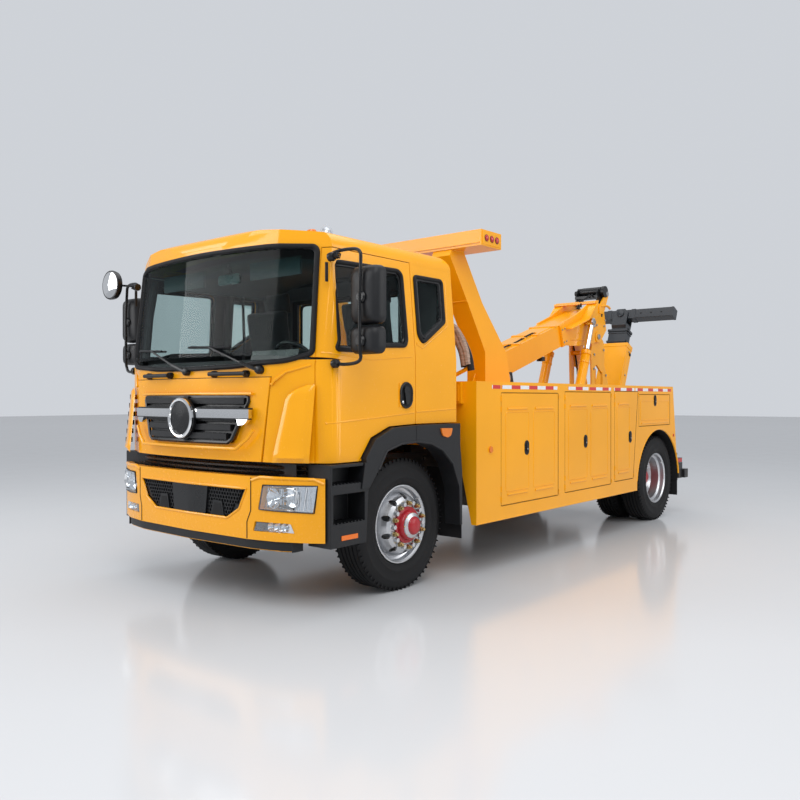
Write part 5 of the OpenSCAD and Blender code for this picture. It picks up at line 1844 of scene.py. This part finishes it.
class TOWTRUCK_OT_chassis(bpy.types.Operator):
    """Rear lamps, mud flaps, tank straps, springs, pipes and exhaust"""

    bl_idname = "towtruck.chassis"
    bl_label = "Chassis details"

    def execute(self, context):
        c = Shape()
        for s in sides():
            # rear lamp cluster on the guard bar
            lo, hi = span(s, 1.075, 1.195)
            c.block((lo, hi), (5.400, 5.520), (0.560, 0.640), "smooth")
            c.block((lo, hi), (5.330, 5.520), (0.648, 0.705), "smooth")
            c.block((lo + 0.004, hi - 0.004), (5.519, 5.528), (0.652, 0.701), "ruby")
            c.block((lo + 0.004, hi - 0.004), (5.519, 5.526), (0.566, 0.634), "amber")
            c.block(span(s, 1.194, 1.199), (5.340, 5.512), (0.653, 0.700), "ruby")
            # mud flaps behind the twin wheels and the front wheels
            c.block(span(s, 0.620, 1.225), (5.262, 5.274), (0.250, 0.780), "flap")
            c.block(span(s, 0.850, 1.200), (0.592, 0.602), (0.330, 0.900), "flap")
            c.block(span(s, 0.640, 1.215), (5.240, 5.262), (0.745, 0.790), "chassis")
            # bolts along the frame
            for k in range(24):
                y = -0.80 + k * 0.27
                c.bolt(0.013, 0.010, 0.012, (s * 0.430, y, 0.84 + 0.08 * (k % 2)), (s, 0, 0))
            # reflective plate on the guard bar
            c.block(span(s, 0.50, 1.08), (5.7195, 5.7215), (0.470, 0.520), "ruby")
            # spring clamps
            for y0 in (0.0, WHEELBASE):
                for dy in (-0.075, 0.075):
                    c.rod((s * 0.346, y0 + dy, 0.50), (s * 0.346, y0 + dy, 0.70), 0.009, "steel",
                          8)
                    c.rod((s * 0.454, y0 + dy, 0.50), (s * 0.454, y0 + dy, 0.70), 0.009, "steel",
                          8)
            # brake chambers near the rear axle
            c.turned([(0.0, 0.0), (0.06, 0.004), (0.075, 0.05), (0.080, 0.07), (0.075, 0.09),
                (0.055, 0.15), (0.0, 0.155)],
                     (s * 0.56, WHEELBASE - 0.24, 0.66), (0, 1, 0), "chassis", 24)
        # straps and cap on the fuel tank
        for y in (1.56, 2.15, 2.72):
            for z0, z1, x0, x1 in ((0.464, 0.470, 0.47, 1.026), (0.930, 0.936, 0.47, 1.026)):
                c.block((x0, x1), (y, y + 0.05), (z0, z1), "steel")
            c.block((1.020, 1.026), (y, y + 0.05), (0.464, 0.936), "steel")
        c.turned([(0.05, 0.0), (0.05, 0.022), (0.04, 0.028), (0.0, 0.030)], (0.86, 1.470, 0.930),
            (0, 0, 1), "smooth", 28)
        # bands on the air vessels
        for z in (0.560, 0.790):
            for y in (1.62, 2.32):
                c.turned([(0.1052, 0.0), (0.108, 0.002), (0.108, 0.038), (0.1052, 0.04)],
                    (-0.720, y, z), (0, 1, 0), "steel", 36)
        # propeller shaft, exhaust and air pipes
        c.rod((0, 1.20, 0.800), (0, WHEELBASE - 0.30, 0.530), 0.045, "chassis", 20)
        for y, z in ((1.26, 0.797), (WHEELBASE - 0.36, 0.534)):
            c.turned([(0.06, -0.04), (0.066, 0), (0.06, 0.04)], (0, y, z), (0, 1, 0), "steel", 20)
        c.hose([(-0.31, 0.20, 0.72), (-0.36, 0.60, 0.62), (-0.55, 0.95, 0.56),
                (-0.60, 1.25, 0.56)], 5, 0.045, "iron", 12)
        c.turned([(0.0, 0.0), (0.12, 0.01), (0.13, 0.05), (0.13, 0.30), (0.11, 0.34), (0.0, 0.35)],
            (-0.60, 0.92, 0.58), (0, 1, 0), "iron", 28)
        for x, r in ((0.30, 0.012), (0.27, 0.009), (-0.29, 0.010)):
            c.hose([(x, -0.6, 0.90), (x, 0.8, 0.93), (x * 1.05, 2.2, 0.90), (x, 3.6, 0.92),
                    (x * 0.9, 4.4, 0.80)], 6, r, "flap", 6)
        # radiator with its fan shroud behind the front panel
        c.block((-0.33, 0.33), (-0.905, -0.835), (0.620, 0.985), "smooth")
        for k in range(16):
            c.block((-0.325, 0.325), (-0.910, -0.906), (0.635 + k * 0.021, 0.640 + k * 0.021),
                    "steel")
        # links of the steering gear
        c.rod((-0.58, 0.20, 0.400), (0.58, 0.20, 0.400), 0.018, "chassis", 12)
        c.rod((0.42, -0.62, 0.62), (0.46, -0.10, 0.60), 0.016, "chassis", 12)
        # boom stand gussets and pin caps
        for s in sides():
            c.turned([(0.055, 0.0), (0.055, 0.010), (0.04, 0.014)], (s * 0.226, 2.860, 1.690),
                (s, 0, 0), "steel", 24)
            c.side([(2.66, 1.06), (3.06, 1.06), (2.90, 1.34), (2.82, 1.34)], *span(s, 0.226, 0.25),
                   "yellow_low")
            for y in (2.62, 2.74, 2.98, 3.10):
                c.bolt(0.018, 0.012, 0.014, (s * 0.34, y, 1.059), (0, 0, 1))
        c.done("chassis_trim", "chassis", 0.0)
        k = Shape()
        # engine: head cover, ribs, pipes
        k.block((-0.24, 0.24), (-0.46, 0.66), (1.000, 1.060), "iron")
        for n in range(7):
            y = -0.40 + n * 0.16
            k.block((-0.310, -0.298), (y, y + 0.03), (0.64, 0.97), "iron")
            k.block((0.298, 0.310), (y, y + 0.03), (0.64, 0.97), "iron")
        k.hose([(-0.28, -0.35, 0.97), (-0.33, 0.0, 0.99), (-0.31, 0.35, 0.97)], 5, 0.035, "iron",
               10)
        k.turned([(0.0, 0.0), (0.20, 0.01), (0.21, 0.03), (0.20, 0.05), (0.0, 0.06)],
            (0, -0.52, 0.80), (0, -1, 0), "smooth", 32)
        for n in range(8):
            a = 2 * math.pi * n / 8
            p = Vector((0.12 * math.cos(a), -0.575, 0.80 + 0.12 * math.sin(a)))
            k.extrude([p + Vector((0.07 * math.cos(a), 0,
                0.07 * math.sin(a))) + Vector((0.03 * math.sin(a), 0.02, -0.03 * math.cos(a))),
                       p - Vector((0.07 * math.cos(a), 0,
                           0.07 * math.sin(a))) + Vector((0.03 * math.sin(a), 0.02,
                               -0.03 * math.cos(a))),
                       p - Vector((0.07 * math.cos(a), 0,
                           0.07 * math.sin(a))) - Vector((0.03 * math.sin(a), 0.0,
                               -0.03 * math.cos(a))),
                       p + Vector((0.07 * math.cos(a), 0,
                           0.07 * math.sin(a))) - Vector((0.03 * math.sin(a), 0.0,
                               -0.03 * math.cos(a)))],
                      (0, -0.006, 0), "smooth")
        k.done("engine_trim", "chassis", 0.004)
        return {"FINISHED"}


def area_lamp(name, place, aim, size, power):
    light = bpy.data.lights.new(name, "AREA")
    light.energy = power
    light.shape = "RECTANGLE"
    light.size = size
    light.size_y = size
    obj = bpy.data.objects.new(name, light)
    obj.location = place
    obj.rotation_euler = (Vector(aim) - Vector(place)).to_track_quat("-Z", "Y").to_euler()
    bpy.context.scene.collection.objects.link(obj)


class TOWTRUCK_OT_stage(bpy.types.Operator):
    """Pale studio floor, soft lamps, backdrop colour and the camera"""

    bl_idname = "towtruck.stage"
    bl_label = "Studio"

    def execute(self, context):
        scene = bpy.context.scene
        f = Finish("studio_floor", Specular_IOR_Level=0.35)
        f.set("Base Color", f.blend(f.noise(0.4), tuple(colours().floor_colour),
                                    tuple(c * 0.985 for c in colours().floor_colour)))
        f.set("Roughness", f.noise(2.0) * 0.02 + 0.13)
        mesh = bpy.data.meshes.new("floor")
        mesh.from_pydata([(-60, -60, 0), (60, -60, 0), (60, 60, 0), (-60, 60, 0)], [],
            [[0, 1, 2, 3]])
        mesh.materials.append(f.mat)
        floor = bpy.data.objects.new("floor", mesh)
        scene.collection.objects.link(floor)
        area_lamp("key", (5.5, -8.0, 9.0), (0, -1, 1), 7.0, 560)
        area_lamp("fill", (11.0, 3.0, 5.0), (0, 1, 1), 8.0, 420)
        area_lamp("top", (0, 0, 10.0), (0, 0, 0), 9.0, 420)
        area_lamp("left", (-6.0, -10.0, 5.0), (0, -3, 1), 6.0, 460)
        world = bpy.data.worlds.new("studio")
        world.use_nodes = True
        tree = world.node_tree
        tree.nodes.clear()
        soft = add_node(tree, "ShaderNodeBackground", None, {0: (0.80, 0.83, 0.88), 1: 0.62})
        seen = add_node(tree, "ShaderNodeBackground", None, {0: (0.62, 0.645, 0.685), 1: 1.0})
        ray = add_node(tree, "ShaderNodeLightPath")
        pick = add_node(tree, "ShaderNodeMixShader", None, {
            0: ray.outputs["Is Camera Ray"], 1: soft.outputs[0], 2: seen.outputs[0]})
        add_node(tree, "ShaderNodeOutputWorld", None, {0: pick.outputs[0]})
        scene.world = world
        scene.view_settings.view_transform = "Standard"
        cam = bpy.data.cameras.new("camera")
        cam.lens = 36.0
        cam.sensor_width = 36.0
        eye = bpy.data.objects.new("camera", cam)
        eye.location = (4.958, -7.419, 1.470)
        eye.rotation_euler = (math.radians(90 - 0.14), 0.0, math.radians(39.57))
        scene.collection.objects.link(eye)
        scene.camera = eye
        return {"FINISHED"}


class TOWTRUCK_PT_panel(bpy.types.Panel):
    """Lists the pieces of the tow truck"""

    bl_idname = "TOWTRUCK_PT_panel"
    bl_label = "Tow Truck"
    bl_space_type = "VIEW_3D"
    bl_region_type = "UI"
    bl_category = "Tow Truck"

    def draw(self, context):
        col = self.layout.column()
        for group in (sizes(), colours()):
            for key in group.__annotations__:
                col.prop(group, key)
        for op in OPERATORS:
            col.operator(op.bl_idname)


OPERATORS = (
    TOWTRUCK_OT_finishes, TOWTRUCK_OT_wheels, TOWTRUCK_OT_grille, TOWTRUCK_OT_cab_front,
    TOWTRUCK_OT_front_lamps, TOWTRUCK_OT_doors, TOWTRUCK_OT_mirrors, TOWTRUCK_OT_cab_sides,
    TOWTRUCK_OT_interior, TOWTRUCK_OT_lockers, TOWTRUCK_OT_gantry, TOWTRUCK_OT_boom,
    TOWTRUCK_OT_underlift, TOWTRUCK_OT_chassis, TOWTRUCK_OT_stage,
)
CLASSES = (TowTruckSizes, TowTruckColours, *OPERATORS, TOWTRUCK_PT_panel)


def register():
    for c in CLASSES:
        bpy.utils.register_class(c)
    bpy.types.Scene.tow_truck_sizes = PointerProperty(type=TowTruckSizes)
    bpy.types.Scene.tow_truck_colours = PointerProperty(type=TowTruckColours)


def unregister():
    del bpy.types.Scene.tow_truck_colours
    del bpy.types.Scene.tow_truck_sizes
    for c in reversed(CLASSES):
        bpy.utils.unregister_class(c)


def main():
    register()
    for op in OPERATORS:
        group, name = op.bl_idname.split(".")
        result = getattr(getattr(bpy.ops, group), name)()
        if "FINISHED" not in result:
            raise RuntimeError(f"{op.bl_idname} did not finish")


if __name__ == "__main__":
    main()
